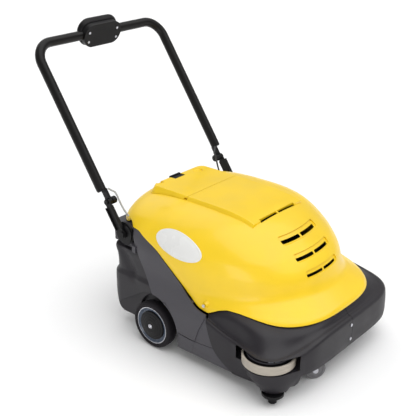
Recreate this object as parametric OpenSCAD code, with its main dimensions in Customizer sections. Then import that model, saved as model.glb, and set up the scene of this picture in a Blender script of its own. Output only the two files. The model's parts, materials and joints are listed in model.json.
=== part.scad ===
// Walk-behind battery sweeper: moulded hood over a dark base, rear hopper,
// tilting U-handle and a right-hand side-brush corner with a bumper roller.
// Millimetres, +Z up, the machine drives towards -Y.

/* [Body] */
// Half width of the base at the sills
base_half_w = 362; // [350:1:375]
// Half width of the hood at its widest
hood_half_w = 335; // [325:1:345]
// Height of the hood above the floor
hood_top = 526; // [515:1:540]
// Wall thickness of the moulded shells
shell_t = 4; // [3:0.5:6]
// Ground clearance under the sills
sill_z = 44; // [35:1:60]

/* [Handle] */
// Distance between the two handle tubes, centre to centre
handle_w = 650; // [620:5:680]
// Outer diameter of the handle tube
tube_d = 37; // [32:1:38]
// Lean of the handle above horizontal, in degrees
handle_lean = 55.8; // [50:0.1:65]
// Length from the tilt pivot to the crossbar
handle_len = 768; // [700:1:800]
// Height of the tilt pivot
pivot_z = 390; // [380:1:400]

/* [Wheels] */
// Radius of the rear wheels
wheel_r = 90; // [85:1:95]
// Width of the rear tyres
wheel_w = 44; // [36:1:46]
// Radius of the front caster wheels
caster_r = 38; // [34:1:40]

/* [Sweeping] */
// Radius over the bristles of the main broom
broom_r = 112; // [105:1:115]
// Length of the main broom
broom_len = 496; // [450:1:500]
// Radius of the corner bumper roller
roller_r = 92; // [88:1:94]

/* [Hidden] */
$fn = 64;

// The object's own origin sits under the middle of its box, on the floor.
mid_x = -11;
mid_y = -26.95;
eps = 0.01;
gap = 1;

// Rear wheels
wheel_y = -41;
wheel_face_x = 367;
axle_z = wheel_r;
axle_r = 8;
rim_r = 0.8 * wheel_r;
wheel_in_x = wheel_face_x - wheel_w;
arch_r = 130;

// Plan of the body: the outlines are measured from this line across it
waist_y = -100;
ring_steps = 56;
front_steps = 96;
corner_blend = 26;
seam_z = 227;

// Side-brush corner
corner_x = -305;
corner_y = -530;
roller_z = 123;
roller_h = 32;
mouth_z0 = 119.5;
mouth_z1 = 171.3;
mouth_r = 112;
post_r = 76.6;
post_t = 3.6;
plate_z = 158;

// Broom, deck and hopper
broom_y = -190;
broom_z = 118;
deck_z = 246;
pan_z = 106;
rail_x = 298;
rail_t = 8;
rail_z = pan_z + shell_t + 0.2;
hopper_rear = 205;
hopper_low = 58;
hopper_top = 334;
hopper_half_w = 332;

filter_w = 236;

// Clips on the back of the hopper
clip_x = 170;
clip_w = 36;
clip_y = hopper_rear + 8;
clip_z = hopper_top - 12;

// Side-brush spindle
hub_x = -346;
hub_y = -580;
hub_low = 5;
hub_stem_h = 31;
hub_stem_r = 15;
hub_flange_r = 38;
hub_shaft_r = 8;

// Belt drive
pulley_x = 268;
pulley_w = 16;
motor_y = -372;
motor_z = 172;
motor_pulley_r = 24;
broom_pulley_r = 60;

// Fixings
bumper_screw_x = -9;
bumper_screw_z = [121, 176];
hood_screw_y = -275;
hood_screw_z = 252;

// Front grille: [height, half width] of each row of slots
slot_rows = [[448, 96], [400, 92], [350, 84]];
slot_rib = 5;
slot_h = 11;

// Side badges
badge_y = -128;
badge_z = 432;
badge_w = 184;
badge_h = 92;
badge_tilt = 2;
step_in = 3;

// Lid and raised panel
panel_half_w = 152;
panel_front = -326;
panel_rear = 168;
lid_front = -22;
lid_gap = 1.7;
panel_rise = 10;
lid_pin_y = lid_front + 4;
lid_pin_z = hood_top - 3.8;
lid_pin_r = 2.5;
latch_x = -12;
latch_y = panel_rear - 33;
latch_z = hood_top - 3.5;

// Handle
handle_x = handle_w / 2;
tube_r = tube_d / 2;
pivot_y = 136;
bend_r = 76;
tube_from = 180;
fold_at = 131;
arm_t = 8;
arm_x = handle_x - 6;
yoke_x = 306;
disc_r = 45;
pivot_bolt_r = 8;
fold_bolt_r = 5;
fit = 0.05;
pod_end = 50;
pod_r = 48;
pod_turn = -75;
switch_l = 34;
switch_w = 16;
cable_r = 3.5;
cable_lower = [[281, 200, 510], [279, 192, 492], [276, 184, 474], [272, 172, 454], [266, 160, 438],
  [262, 155, 432]];
cable_upper = [[305, 224, 543], [294, 216, 534], [283, 209, 524], [281, 200, 510.2]];
cable_hole_r = cable_r + 3;

// Casters: swivel axes and the way each fork trails
caster_x = 160;
caster_y = -585;
caster_trail = 30;
caster_turn_right = -130;
caster_turn_left = 24;
caster_w = 24;

// Side view line where the hood meets the base, from the rear to the front
seam_line = [[320, 420], [70, 424], [24, 411], [-42, 386], [-92, 353], [-150, 307],
  [-205, 262], [-256, 233], [-300, 227], [-720, 227]];

// Outlines of the upper body by height: [z, half width, front reach, rear reach, front n, rear n]
upper_sections = [
  [200, hood_half_w + 10, 545, 345, 3.0, 3.4],
  [226, hood_half_w + 8, 536, 348, 3.0, 3.4],
  [244, hood_half_w + 4, 530, 350, 2.9, 3.4],
  [262, hood_half_w + 1, 500, 350, 2.6, 3.4],
  [286, hood_half_w, 462, 350, 2.3, 3.4],
  [305, hood_half_w, 450, 350, 2.25, 3.4],
  [350, hood_half_w, 433, 350, 2.25, 3.4],
  [400, hood_half_w - 6, 392, 348, 2.25, 3.4],
  [430, hood_half_w - 18, 356, 344, 2.25, 3.3],
  [456, hood_half_w - 38, 322, 334, 2.3, 3.2],
  [480, hood_half_w - 62, 286, 316, 2.4, 3.0],
  [498, hood_half_w - 88, 252, 290, 2.5, 2.8],
  [508, hood_half_w - 112, 226, 264, 2.6, 2.7],
  [hood_top - panel_rise, hood_half_w - 160, 182, 220, 2.6, 2.6]];

// Outlines of the base by height, in the same form
base_sections = [
  [sill_z, base_half_w - 6, 548, 300, 5.5, 5],
  [78, base_half_w, 560, 300, 5.5, 5],
  [130, base_half_w, 563, 300, 5.5, 5],
  [190, base_half_w - 2, 558, 300, 5.2, 5],
  [210, base_half_w - 5, 548, 300, 4.6, 5],
  [230, base_half_w - 9, 532, 300, 4.2, 5],
  [300, base_half_w - 22, 450, 300, 2.3, 4.5],
  [360, hood_half_w + 3, 430, 300, 2.25, 4],
  [430, hood_half_w - 16, 356, 300, 2.25, 4]];

// Outlines of the front moulding from its bottom edge up. The height is counted from the ridge
// line once it is negative or small: [height, half width, front reach, n, corner x, corner y, corner r]
front_sections = [
  [sill_z, base_half_w - 4, 540, 5.5, -322, -562, 48],
  [62, base_half_w - 2, 552, 5.5, -318, -555, 58],
  [88, base_half_w, 560, 5.5, -312, -542, 74],
  [118, base_half_w, 563, 5.5, corner_x, corner_y, 87],
  [145, base_half_w, 563, 5.5, corner_x, corner_y, 88]];
ridge_sections = [
  [-12, base_half_w - 1, 562, 5.4, corner_x, corner_y, 88],
  [-4, base_half_w - 3, 559, 5.3, corner_x, corner_y, 86],
  [1, base_half_w - 8, 552, 5.1, corner_x, corner_y, 80],
  [3.5, base_half_w - 16, 542, 4.8, corner_x + 3, corner_y + 3, 72]];
skirt_in = 14;

// Height of the ridge line by direction, in degrees from straight ahead towards the right
right_ridge = [[0, 202], [14, 202], [22, 192], [27, 178], [31, 172], [42, 170], [45, 172], [49, 188],
  [54, 212], [58, 220], [63, 222], [180, 222]];
left_ridge = [[0, 202], [38, 202], [46, 208], [54, 216], [62, 222], [180, 222]];

function sum_of(points, i = 0) = i == len(points) - 1 ? points[i] : points[i] + sum_of(points, i + 1);

function middle_of(ring) = sum_of(ring) / len(ring);

function signed_pow(v, p) = sign(v) * pow(abs(v), p);

// One closed outline at height z, going round from the front
function outline(s, inset) = [for (i = [0 : ring_steps - 1])
  let (a = 360 * i / ring_steps,
    n = cos(a) > 0 ? s[4] : s[5],
    reach = (cos(a) > 0 ? s[2] : s[3]) - inset)
  [(s[1] - inset) * signed_pow(sin(a), 2 / n),
    waist_y - reach * signed_pow(cos(a), 2 / n),
    s[0]]];

// Distance from the middle of the body to the far side of the corner round, in direction d
function corner_reach(d, s) =
  let (c = [s[4], s[5] - waist_y], along = c * d, q = s[6] * s[6] - c * c + along * along)
  q > 0 ? along + sqrt(q) : along - 2 * sqrt(-q);

function smooth_max(a, b, k) = (a + b + sqrt((a - b) * (a - b) + k * k)) / 2;

function heading(p) = atan2(-p[0], waist_y - p[1]);

function ridge_at(p) = heading(p) > 0 ? lookup(heading(p), right_ridge) : lookup(-heading(p), left_ridge);

// One ring of the front moulding: a plain outline pushed out by the corner round
function front_ring(s, inset) = [for (i = [0 : front_steps - 1])
  let (a = 360 * i / front_steps,
    n = cos(a) > 0 ? s[3] : 5,
    reach = (cos(a) > 0 ? s[2] : 200) - inset,
    b = [(s[1] - inset) * signed_pow(sin(a), 2 / n), -reach * signed_pow(cos(a), 2 / n)],
    d = b / norm(b),
    t = cos(a) > 0 ? smooth_max(norm(b), corner_reach(d, s) - inset, corner_blend) : norm(b))
  [t * d[0], waist_y + t * d[1], 0]];

function lifted(ring, z) = [for (p = ring) [p[0], p[1], z]];

function on_ridge(ring, rise) = [for (p = ring) [p[0], p[1], ridge_at(p) + rise]];

skirt_section = [0, hood_half_w + 8 - skirt_in, 536 - skirt_in, 3, 0, waist_y, 1];

function front_rings(inset) = concat(
  [for (s = front_sections) lifted(front_ring(s, inset), s[0])],
  [for (s = ridge_sections) on_ridge(front_ring(s, inset), s[0] - inset)],
  [lifted(front_ring(skirt_section, inset), seam_z - gap - inset)]);

module front_form(inset) {
  loft(front_rings(inset));
}

// The room inside the front moulding, open at the bottom and under the hood
module front_room() {
  loft(concat(
    [lifted(front_ring(front_sections[0], shell_t), sill_z - 5)],
    front_rings(shell_t),
    [lifted(front_ring(skirt_section, shell_t + 12), seam_z + 5)]));
}

module placed() {
  translate([-mid_x, -mid_y, 0]) children();
}

// Skin through a stack of outlines that all have the same number of points. The two ends are
// closed from a point in their middle.
module loft(rings) {
  n = len(rings[0]);
  m = len(rings);
  low = n * m;
  polyhedron(
    points = concat([for (r = rings) each r], [middle_of(rings[0]), middle_of(rings[m - 1])]),
    faces = concat(
      [for (i = [0 : n - 1]) [low, i, (i + 1) % n]],
      [for (i = [0 : n - 1]) [low + 1, (m - 1) * n + (i + 1) % n, (m - 1) * n + i]],
      [for (k = [0 : m - 2], i = [0 : n - 1])
        [k * n + i, (k + 1) * n + i, (k + 1) * n + (i + 1) % n]],
      [for (k = [0 : m - 2], i = [0 : n - 1])
        [k * n + i, (k + 1) * n + (i + 1) % n, k * n + (i + 1) % n]]));
}

// The room inside the base, open at the bottom
module base_room() {
  first = base_sections[0];
  loft(concat([outline([0, first[1], first[2], first[3], first[4], first[5]], shell_t)],
    [for (s = base_sections) outline(s, shell_t)]));
}

module upper_form(inset, drop) {
  translate([0, 0, -drop]) loft([for (s = upper_sections) outline(s, inset)]);
}

module base_form(inset) {
  loft([for (s = base_sections) outline(s, inset)]);
}

// A side view shape, given as [y, z] points, made as wide as x0 to x1
module across(x0, x1) {
  translate([x0, 0, 0]) rotate([90, 0, 90]) linear_extrude(x1 - x0) children();
}

// A round bar along X
module bar_x(x0, x1, r) {
  translate([x0, 0, 0]) rotate([0, 90, 0]) cylinder(h = x1 - x0, r = r);
}

module box(x0, x1, y0, y1, z0, z1) {
  translate([x0, y0, z0]) cube([x1 - x0, y1 - y0, z1 - z0]);
}

// Copies its children for the right (-X) and the left (+X) side
module both_sides() {
  children();
  mirror([1, 0, 0]) children();
}

module below_seam(lower) {
  across(-400, 400) polygon(concat([[320, 0], [-720, 0]],
    [for (i = [len(seam_line) - 1 : -1 : 0]) seam_line[i] - [0, lower]]));
}

module above_seam() {
  across(-400, 400) polygon(concat([[-720, 600], [320, 600]], seam_line));
}

// ---- base ----

// Space kept free round a rear wheel
module wheel_well() {
  translate([0, wheel_y, axle_z]) bar_x(wheel_in_x - 12, 400, arch_r - 4);
}

// Where the hopper leaves the base, seen from the side
module hopper_side_view(grow) {
  polygon([[93 - grow, 400], [-57 - grow, 190], [-57 - grow, 40], [320, 40], [320, 430], [93 - grow, 430]]);
}

// Moulded guard that follows the wheel opening
module arch_lip() {
  difference() {
    translate([0, wheel_y, axle_z]) bar_x(336, base_half_w - 1, arch_r + 1);
    translate([0, wheel_y, axle_z]) bar_x(335, base_half_w, arch_r - 3);
    box(300, 400, -300, 300, -100, axle_z - 14);
  }
}

// Cross member behind the lid that carries the tilt pivots
module yoke() {
  difference() {
    union() {
      box(-yoke_x, yoke_x, 62, 212, hopper_top + 4, 418);
      both_sides() box(yoke_x - 1, 336, 62, 76, 396, 418);
    }
    box(6 - yoke_x, yoke_x - 6, 68, 206, hopper_top, 413);
    box(-filter_w / 2 - 4, filter_w / 2 + 4, 74, 146, 400, 420);
    translate([0, pivot_y, pivot_z]) bar_x(-400, 400, pivot_bolt_r + fit);
  }
}

// Side view of the front moulding, with its curved rear edge
module front_side_view(grow) {
  polygon([[-293 + grow, 300], [-293 + grow, 222], [-312 + grow, 160], [-333 + grow, 111],
    [-372 + grow, 74], [-423 + grow, 40], [-760, 40], [-760, 300]]);
}

// Side view of the part of the side walls that stands back behind a step
module recess_side_view() {
  polygon([[-293, 300], [-293, 222], [-262, 150], [-227, 40], [-480, 40], [-480, 300]]);
}

module bumper_screw_holes() {
  for (z = bumper_screw_z)
    translate([bumper_screw_x, -680, z]) rotate([-90, 0, 0]) cylinder(h = 60, r = 3 + fit);
}

// Side walls, stepped back in front of the rear wheels
module side_walls() {
  difference() {
    base_form(0);
    base_room();
    difference() {
      across(-400, 400) recess_side_view();
      base_form(step_in);
    }
    across(-400, 400) front_side_view(gap);
    box(-400, 400, -760, -480, 0, 600);
  }
}

// Deck over the broom and the wall in front of it, with a slot for the belt
module inner_walls() {
  difference() {
    intersection() {
      base_form(shell_t - 0.5);
      union() {
        box(-rail_x + 1, rail_x - 1, -326, -322, sill_z, deck_z + 1);
        box(-400, 400, -420, -64, deck_z, deck_z + shell_t);
      }
    }
    box(pulley_x - 4, rail_x, -330, -318, 100, 206);
  }
}

module chassis_tub() placed() color("#5a595f") {
  difference() {
    intersection() {
      union() {
        side_walls();
        inner_walls();
      }
      below_seam(gap);
    }
    across(-400, 400) hopper_side_view(2);
    both_sides() wheel_well();
  }
  difference() {
    intersection() {
      front_form(shell_t + 0.3);
      union() {
        box(-400, 400, -700, -325, pan_z, pan_z + shell_t);
        box(-70, 70, -700, -648, pan_z + 1, 205);
      }
    }
    for (side = [-1, 1])
      translate([side * caster_x, caster_y, 0]) cylinder(h = 300, r = 12);
    translate([hub_x, hub_y, 0]) cylinder(h = 300, r = hub_shaft_r + 3);
    bumper_screw_holes();
  }
  both_sides() arch_lip();
  yoke();
}

// The front moulding: bumper, corner fender and the cup under the bumper roller
module front_moulding() {
  difference() {
    intersection() {
      front_form(0);
      across(-440, 440) front_side_view(0);
    }
    front_room();
    translate([corner_x, corner_y, mouth_z0]) cylinder(h = mouth_z1 - mouth_z0, r = mouth_r);
    translate([hub_x, hub_y, 0]) cylinder(h = 50, r = hub_flange_r + 2);
    box(-272, 400, -760, -520, 0, 92);
    bumper_screw_holes();
  }
}

module bumper_right() placed() color("#4b464b") {
  intersection() {
    front_moulding();
    box(-440, -gap / 2, -760, 0, 0, 600);
  }
}

module bumper_left() placed() color("#4b464b") {
  intersection() {
    front_moulding();
    box(gap / 2, 440, -760, 0, 0, 600);
  }
}

// A pan head screw standing on the plane y = 0, pointing inwards
module screw_in() {
  rotate([90, 0, 0]) cylinder(h = 2, r = 6);
  rotate([-90, 0, 0]) cylinder(h = 12, r = 3);
}

// The same screw holds the bumper and the hood
module body_screws() placed() color("#c8c8cc") {
  for (z = bumper_screw_z) translate([bumper_screw_x, waist_y - 563.5, z]) screw_in();
  for (side = [-1, 1])
    translate([side * (hood_half_w + 8.5), hood_screw_y, hood_screw_z]) rotate([0, 0, side * 90]) screw_in();
}

// ---- side-brush corner ----

// Plate on the sleeve, carrying the gear case of the side brush
module corner_plate() placed() color("#5a595f") {
  translate([corner_x, corner_y, plate_z]) difference() {
    cylinder(h = post_t, r = post_r - 1);
    translate([hub_x - corner_x, hub_y - corner_y, -1]) cylinder(h = 10, r = hub_shaft_r + fit);
  }
}

// Fixed sleeve that the bumper roller turns on
module roller_post() placed() color("#2c2830") {
  z0 = pan_z + shell_t + 0.2;
  translate([corner_x, corner_y, z0]) difference() {
    union() {
      cylinder(h = plate_z - z0 - 0.2, r = post_r);
      translate([0, 0, mouth_z0 - z0]) cylinder(h = roller_z - mouth_z0 - 1, r = post_r + 5);
    }
    translate([0, 0, -1]) cylinder(h = 200, r = post_r - post_t);
  }
}

module roller_core() placed() color("#3a363c") {
  translate([corner_x, corner_y, roller_z]) difference() {
    translate([0, 0, 2]) cylinder(h = roller_h - 4, r = roller_r - 7);
    cylinder(h = roller_h, r = post_r + fit);
  }
}

module roller_tyre() placed() color("#beb5a6") {
  translate([corner_x, corner_y, roller_z]) rotate_extrude() polygon([
    [roller_r - 7, 0], [roller_r - 3, 0], [roller_r, 3], [roller_r, roller_h - 3],
    [roller_r - 3, roller_h], [roller_r - 7, roller_h]]);
}

// ---- hood ----

// Side view of the raised panel that runs back into the lid
module panel_side_view() {
  polygon([[panel_rear, 440], [panel_rear, hood_top - 8], [panel_rear - 10, hood_top - 1],
    [panel_rear - 24, hood_top], [-180, hood_top], [-300, hood_top - 10],
    [panel_front, hood_top - 22], [panel_front, 440]]);
}

module panel_form() {
  intersection() {
    across(-panel_half_w, panel_half_w) panel_side_view();
    translate([0, 0, 440]) linear_extrude(200) union() {
      translate([-panel_half_w, panel_front - 1])
        square([2 * panel_half_w, panel_rear - 30 - panel_front]);
      translate([30 - panel_half_w, panel_rear - 40]) square([2 * panel_half_w - 60, 41]);
      for (side = [-1, 1])
        translate([side * (panel_half_w - 30), panel_rear - 30]) circle(r = 30);
    }
  }
}

// One slot of the front grille, cut level from the front, between x0 and x1
module slot(x0, x1, z, h) {
  box(x0, x1, -700, -150, z - h / 2, z + h / 2);
}

module hood() placed() color("#efc51a") {
  difference() {
    union() {
      intersection() {
        upper_form(0, 0);
        above_seam();
      }
      difference() {
        panel_form();
        box(-200, 200, lid_front - lid_gap, 300, 0, 600);
        upper_form(shell_t, shell_t);
      }
    }
    upper_form(shell_t, shell_t);
    box(-132, 132, -4, 148, 430, 600);
    for (row = slot_rows, side = [-1, 1])
      slot(side > 0 ? slot_rib : -row[1], side > 0 ? row[1] : -slot_rib, row[0], slot_h);
    both_sides() box(slot_rib, 100, panel_front + 2, panel_front + 9, 430, 600);
    both_sides() translate([0, pivot_y, pivot_z]) bar_x(yoke_x - 30, 400, disc_r + 4);
    both_sides() translate([262, 158, 432]) rotate([0, 55, 25]) cylinder(h = 40, r = cable_hole_r, center = true);
    both_sides() translate([hood_half_w + 8, hood_screw_y, hood_screw_z]) bar_x(-30, 10, 3 + fit);
  }
  both_sides() difference() {
    box(100, 110, lid_front - 2, lid_front + 11, 514, hood_top - 1);
    translate([0, lid_pin_y, lid_pin_z]) bar_x(90, 120, lid_pin_r + fit);
  }
}

// Plain oval plates on the hood's flanks
module badges() placed() color("#f2f2f0") {
  both_sides() intersection() {
    difference() {
      upper_form(-2, -1);
      upper_form(-0.3, -0.3);
    }
    translate([250, badge_y, badge_z]) rotate([badge_tilt, 0, 0]) rotate([0, 90, 0])
      linear_extrude(120) union() {
        square([badge_h, badge_w - badge_h], center = true);
        for (end = [-1, 1]) translate([0, end * (badge_w - badge_h) / 2]) circle(r = badge_h / 2);
      }
  }
}

module lid() placed() color("#f3cb25") {
  difference() {
    panel_form();
    box(-200, 200, -500, lid_front, 0, 600);
    upper_form(-0.5, -0.5);
    box(-200, 200, -100, lid_front + 14, 0, lid_pin_z - 3.7);
    both_sides() box(98.5, 111.5, -60, lid_front + 13, 0, 600);
    both_sides() translate([0, lid_pin_y, lid_pin_z]) bar_x(86, 121, lid_pin_r + fit);
    box(-126, 126, 4, 140, 500, hood_top - shell_t);
    box(latch_x - 29, latch_x + 29, panel_rear - 36, panel_rear + 1, hood_top - 6, 600);
    translate([0, latch_y, latch_z]) bar_x(latch_x - 34, latch_x + 34, 1.5 + fit);
  }
}

module lid_hinge_pins() placed() color("#b9b9bd") {
  both_sides() translate([0, lid_pin_y, lid_pin_z]) bar_x(88, 120, lid_pin_r);
}

// Lever at the back of the lid
module lid_latch() placed() color("#2b2b2e") {
  translate([latch_x, 0, 0]) {
    box(-28, 28, latch_y - 2, panel_rear - 4, latch_z - 2, latch_z + 2);
    box(-28, 28, panel_rear - 12, panel_rear - 4, latch_z + 2 - eps, hood_top + 2);
    translate([0, latch_y, latch_z]) bar_x(-33, 33, 1.5);
  }
}

// ---- hopper ----

module hopper_plan(inset) {
  r = 60;
  w = hopper_half_w - inset;
  rear = hopper_rear - inset;
  translate([-w, -80]) square([2 * w, rear - r + 80]);
  translate([-w + r, rear - r - 10]) square([2 * (w - r), r + 10]);
  for (side = [-1, 1]) translate([side * (w - r), rear - r]) circle(r = r);
}

module hopper_side(inset) {
  polygon([[-52 + inset, hopper_low + inset], [-52 + inset, 193], [47 + inset, hopper_top - inset],
    [hopper_rear + 1, hopper_top - inset], [hopper_rear + 1, hopper_low + inset]]);
}

module hopper_form(inset) {
  difference() {
    intersection() {
      across(-400, 400) hopper_side(inset);
      linear_extrude(500) hopper_plan(inset);
    }
    both_sides() translate([0, wheel_y, axle_z]) bar_x(286 - inset, 400, arch_r + 8 + inset);
  }
}

module hopper() placed() color("#63616a") {
  difference() {
    hopper_form(0);
    hopper_form(shell_t);
    // mouth that the broom throws into, and the way up to the filter
    box(-250, 250, -70, -40, hopper_low + 16, 190);
    box(-filter_w / 2 + 8, filter_w / 2 - 8, 84, 136, hopper_top - 20, hopper_top + 1);
    // grip in the rear wall
    box(-110, 110, hopper_rear - 30, hopper_rear + 1, 250, 290);
  }
  both_sides() difference() {
    for (x = [clip_x - 4.3, clip_x + clip_w + 0.3])
      box(x, x + 4, hopper_rear - 1, clip_y + 5, clip_z - 6, clip_z + 5);
    translate([0, clip_y, clip_z]) bar_x(clip_x - 10, clip_x + clip_w + 10, 2 + fit);
  }
  difference() {
    box(-114, 114, hopper_rear - 34, hopper_rear - 3, 246, 294);
    box(-110, 110, hopper_rear - 30, hopper_rear + 1, 250, 290);
  }
}

// Flap with its own pin stubs, standing up against the cross member
module hopper_clip() {
  translate([0, clip_y, clip_z]) {
    bar_x(clip_x, clip_x + clip_w, 4);
    bar_x(clip_x - 4, clip_x + clip_w + 4, 2);
    box(clip_x, clip_x + clip_w, 0, 4, 0, 52);
    box(clip_x + 4, clip_x + clip_w - 4, 3, 9, 44, 52);
  }
}

module hopper_clip_right() placed() color("#8f8f94") mirror([1, 0, 0]) hopper_clip();
module hopper_clip_left() placed() color("#8f8f94") hopper_clip();

// ---- frame and wheels ----

module frame_rails() placed() color("#3d3d41") {
  difference() {
    union() {
      both_sides() across(rail_x, rail_x + rail_t)
        polygon([[-430, rail_z], [-430, 172], [-120, 172], [-64, 130], [20, 130], [20, 70], [-120, 70],
          [-180, rail_z]]);
      translate([0, -300, 205]) bar_x(-rail_x - rail_t, rail_x + rail_t, 9);
      both_sides() box(rail_x, rail_x + rail_t, -312, -288, 160, 218);
    }
    translate([0, wheel_y, axle_z]) bar_x(-400, 400, axle_r + fit);
  }
}

module stub_axles() placed() color("#b5b5ba") {
  both_sides() translate([0, wheel_y, axle_z]) {
    bar_x(rail_x - 6, wheel_face_x - 3, axle_r);
    bar_x(rail_x + rail_t, wheel_in_x + 2, axle_r + 7);
    bar_x(rail_x - 6, rail_x, axle_r + 6);
  }
}

// A profile of [distance out, radius] points, turned about the X axis on the right wheel
module turned_x(at_y, at_z) {
  translate([0, at_y, at_z]) rotate([0, -90, 0]) rotate_extrude() children();
}

module tyre() {
  turned_x(wheel_y, axle_z) polygon([[rim_r, wheel_in_x + 2], [wheel_r - 8, wheel_in_x],
    [wheel_r - 2, wheel_in_x + 4], [wheel_r, wheel_in_x + 12], [wheel_r, wheel_face_x - 12],
    [wheel_r - 2, wheel_face_x - 4], [wheel_r - 8, wheel_face_x], [rim_r, wheel_face_x - 2]]);
}

module rim() {
  turned_x(wheel_y, axle_z) polygon([[axle_r + fit, wheel_in_x + 3], [20, wheel_in_x + 3],
    [26, wheel_in_x + 12], [rim_r - 8, wheel_in_x + 12], [rim_r, wheel_in_x + 4],
    [rim_r, wheel_face_x - 3], [rim_r - 4, wheel_face_x - 3], [rim_r - 10, wheel_face_x - 9],
    [rim_r - 14, wheel_face_x - 9], [axle_r + fit, wheel_face_x - 9]]);
}

module cap() {
  turned_x(wheel_y, axle_z) polygon([[9, wheel_face_x - 9], [rim_r - 16, wheel_face_x - 9],
    [rim_r - 17, wheel_face_x - 4], [40, wheel_face_x + 1], [20, wheel_face_x + 4], [9, wheel_face_x + 4]]);
}

module bolt() {
  turned_x(wheel_y, axle_z) polygon([[0, wheel_face_x - 2.5], [8.9, wheel_face_x - 2.5],
    [8.9, wheel_face_x + 6], [7, wheel_face_x + 8], [0, wheel_face_x + 8]]);
}

module wheel_right_tyre() placed() color("#3a3640") tyre();
module wheel_right_rim() placed() color("#c9c9cd") rim();
module wheel_right_cap() placed() color("#45403f") cap();
module wheel_right_bolt() placed() color("#d0d0d4") bolt();
module wheel_left_tyre() placed() color("#3a3640") mirror([1, 0, 0]) tyre();
module wheel_left_rim() placed() color("#c9c9cd") mirror([1, 0, 0]) rim();
module wheel_left_cap() placed() color("#45403f") mirror([1, 0, 0]) cap();
module wheel_left_bolt() placed() color("#d0d0d4") mirror([1, 0, 0]) bolt();

module caster_plates() placed() color("#9a9aa0") {
  for (side = [-1, 1]) translate([side * caster_x, caster_y, pan_z - 5]) difference() {
    translate([-34, -34, 0]) cube([68, 68, 5]);
    translate([0, 0, -1]) cylinder(h = 10, r = 8 + fit);
    for (x = [-26, 26], y = [-26, 26]) translate([x, y, -1]) cylinder(h = 10, r = 3.2);
  }
}

module caster_fork(side, turn) {
  translate([side * caster_x, caster_y, 0]) rotate([0, 0, turn]) {
    translate([0, 0, pan_z - 9]) cylinder(h = 15, r = 8);
    translate([0, 0, pan_z - 16]) cylinder(h = 10.5, r = 24);
    translate([-20, -12, 82]) cube([40, 34, 9]);
    for (leg = [-1, 1]) translate([leg * 16 - 2.5, 0, 0]) difference() {
      rotate([90, 0, 90]) linear_extrude(5) polygon([[-12, 90], [22, 90],
        [caster_trail + 10, caster_r + 2], [caster_trail + 7, caster_r - 8],
        [caster_trail - 7, caster_r - 8], [caster_trail - 12, caster_r + 2]]);
      translate([0, caster_trail, caster_r]) bar_x(-1, 6, 5 + fit);
    }
    translate([0, caster_trail, caster_r]) {
      bar_x(-20, 20, 5);
      bar_x(-21.5, -18.5, 8);
      bar_x(18.5, 21.5, 8);
    }
  }
}

module caster_wheel(side, turn) {
  translate([side * caster_x, caster_y, 0]) rotate([0, 0, turn])
    translate([0, caster_trail, caster_r]) rotate([0, 90, 0]) rotate_extrude() polygon([
      [5 + fit, -caster_w / 2], [12, -caster_w / 2], [14, 4 - caster_w / 2], [caster_r - 10, 4 - caster_w / 2],
      [caster_r - 8, 1 - caster_w / 2], [caster_r - 3, 1 - caster_w / 2], [caster_r, 5 - caster_w / 2],
      [caster_r, caster_w / 2 - 5], [caster_r - 3, caster_w / 2 - 1], [caster_r - 8, caster_w / 2 - 1],
      [caster_r - 10, caster_w / 2 - 4], [14, caster_w / 2 - 4], [12, caster_w / 2], [5 + fit, caster_w / 2]]);
}

module caster_right_fork() placed() color("#b0b0b4") caster_fork(-1, caster_turn_right);
module caster_right_wheel() placed() color("#858486") caster_wheel(-1, caster_turn_right);
module caster_left_fork() placed() color("#b0b0b4") caster_fork(1, caster_turn_left);
module caster_left_wheel() placed() color("#858486") caster_wheel(1, caster_turn_left);

// ---- sweeping gear ----

module broom_core() placed() color("#d8d2c4") {
  translate([0, broom_y, broom_z]) {
    bar_x(-broom_len / 2, broom_len / 2, 46);
    bar_x(-280, pulley_x + pulley_w + 4, 10);
  }
}

module broom_bristles() placed() color("#2b2b2b") {
  translate([0, broom_y, broom_z]) difference() {
    bar_x(-broom_len / 2 + 4, broom_len / 2 - 4, broom_r);
    bar_x(-broom_len, broom_len, 46);
  }
}

module broom_bearings() placed() color("#8d8d92") {
  both_sides() translate([0, broom_y, broom_z]) difference() {
    union() {
      bar_x(252, 262, 30);
      translate([252, -26, 0]) cube([10, 52, deck_z - broom_z]);
    }
    bar_x(250, 264, 10 + fit);
  }
}

module broom_motor() placed() color("#6f7378") {
  translate([0, motor_y, motor_z]) {
    bar_x(70, 232, 42);
    bar_x(231, pulley_x + pulley_w + 2, 7);
  }
  box(80, 222, motor_y - 24, motor_y + 24, motor_z + 30, deck_z);
}

module grooved_pulley(r, hub_r) {
  difference() {
    union() {
      bar_x(pulley_x, pulley_x + 2, r + 3);
      bar_x(pulley_x, pulley_x + pulley_w, r);
      bar_x(pulley_x + pulley_w - 2, pulley_x + pulley_w, r + 3);
    }
    bar_x(0, 400, hub_r);
  }
}

module motor_pulley() placed() color("#a4a4a8") {
  translate([0, motor_y, motor_z]) grooved_pulley(motor_pulley_r, 7 + fit);
}

module broom_pulley() placed() color("#a4a4a8") {
  translate([0, broom_y, broom_z]) grooved_pulley(broom_pulley_r, 10);
}

module belt_line(grow) {
  hull() {
    translate([motor_y, motor_z]) circle(r = motor_pulley_r + grow, $fn = 48);
    translate([broom_y, broom_z]) circle(r = broom_pulley_r + grow, $fn = 64);
  }
}

module drive_belt() placed() color("#1f1f20") {
  across(pulley_x + 3, pulley_x + pulley_w - 3) difference() {
    belt_line(3.4);
    belt_line(0.4);
  }
}

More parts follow.
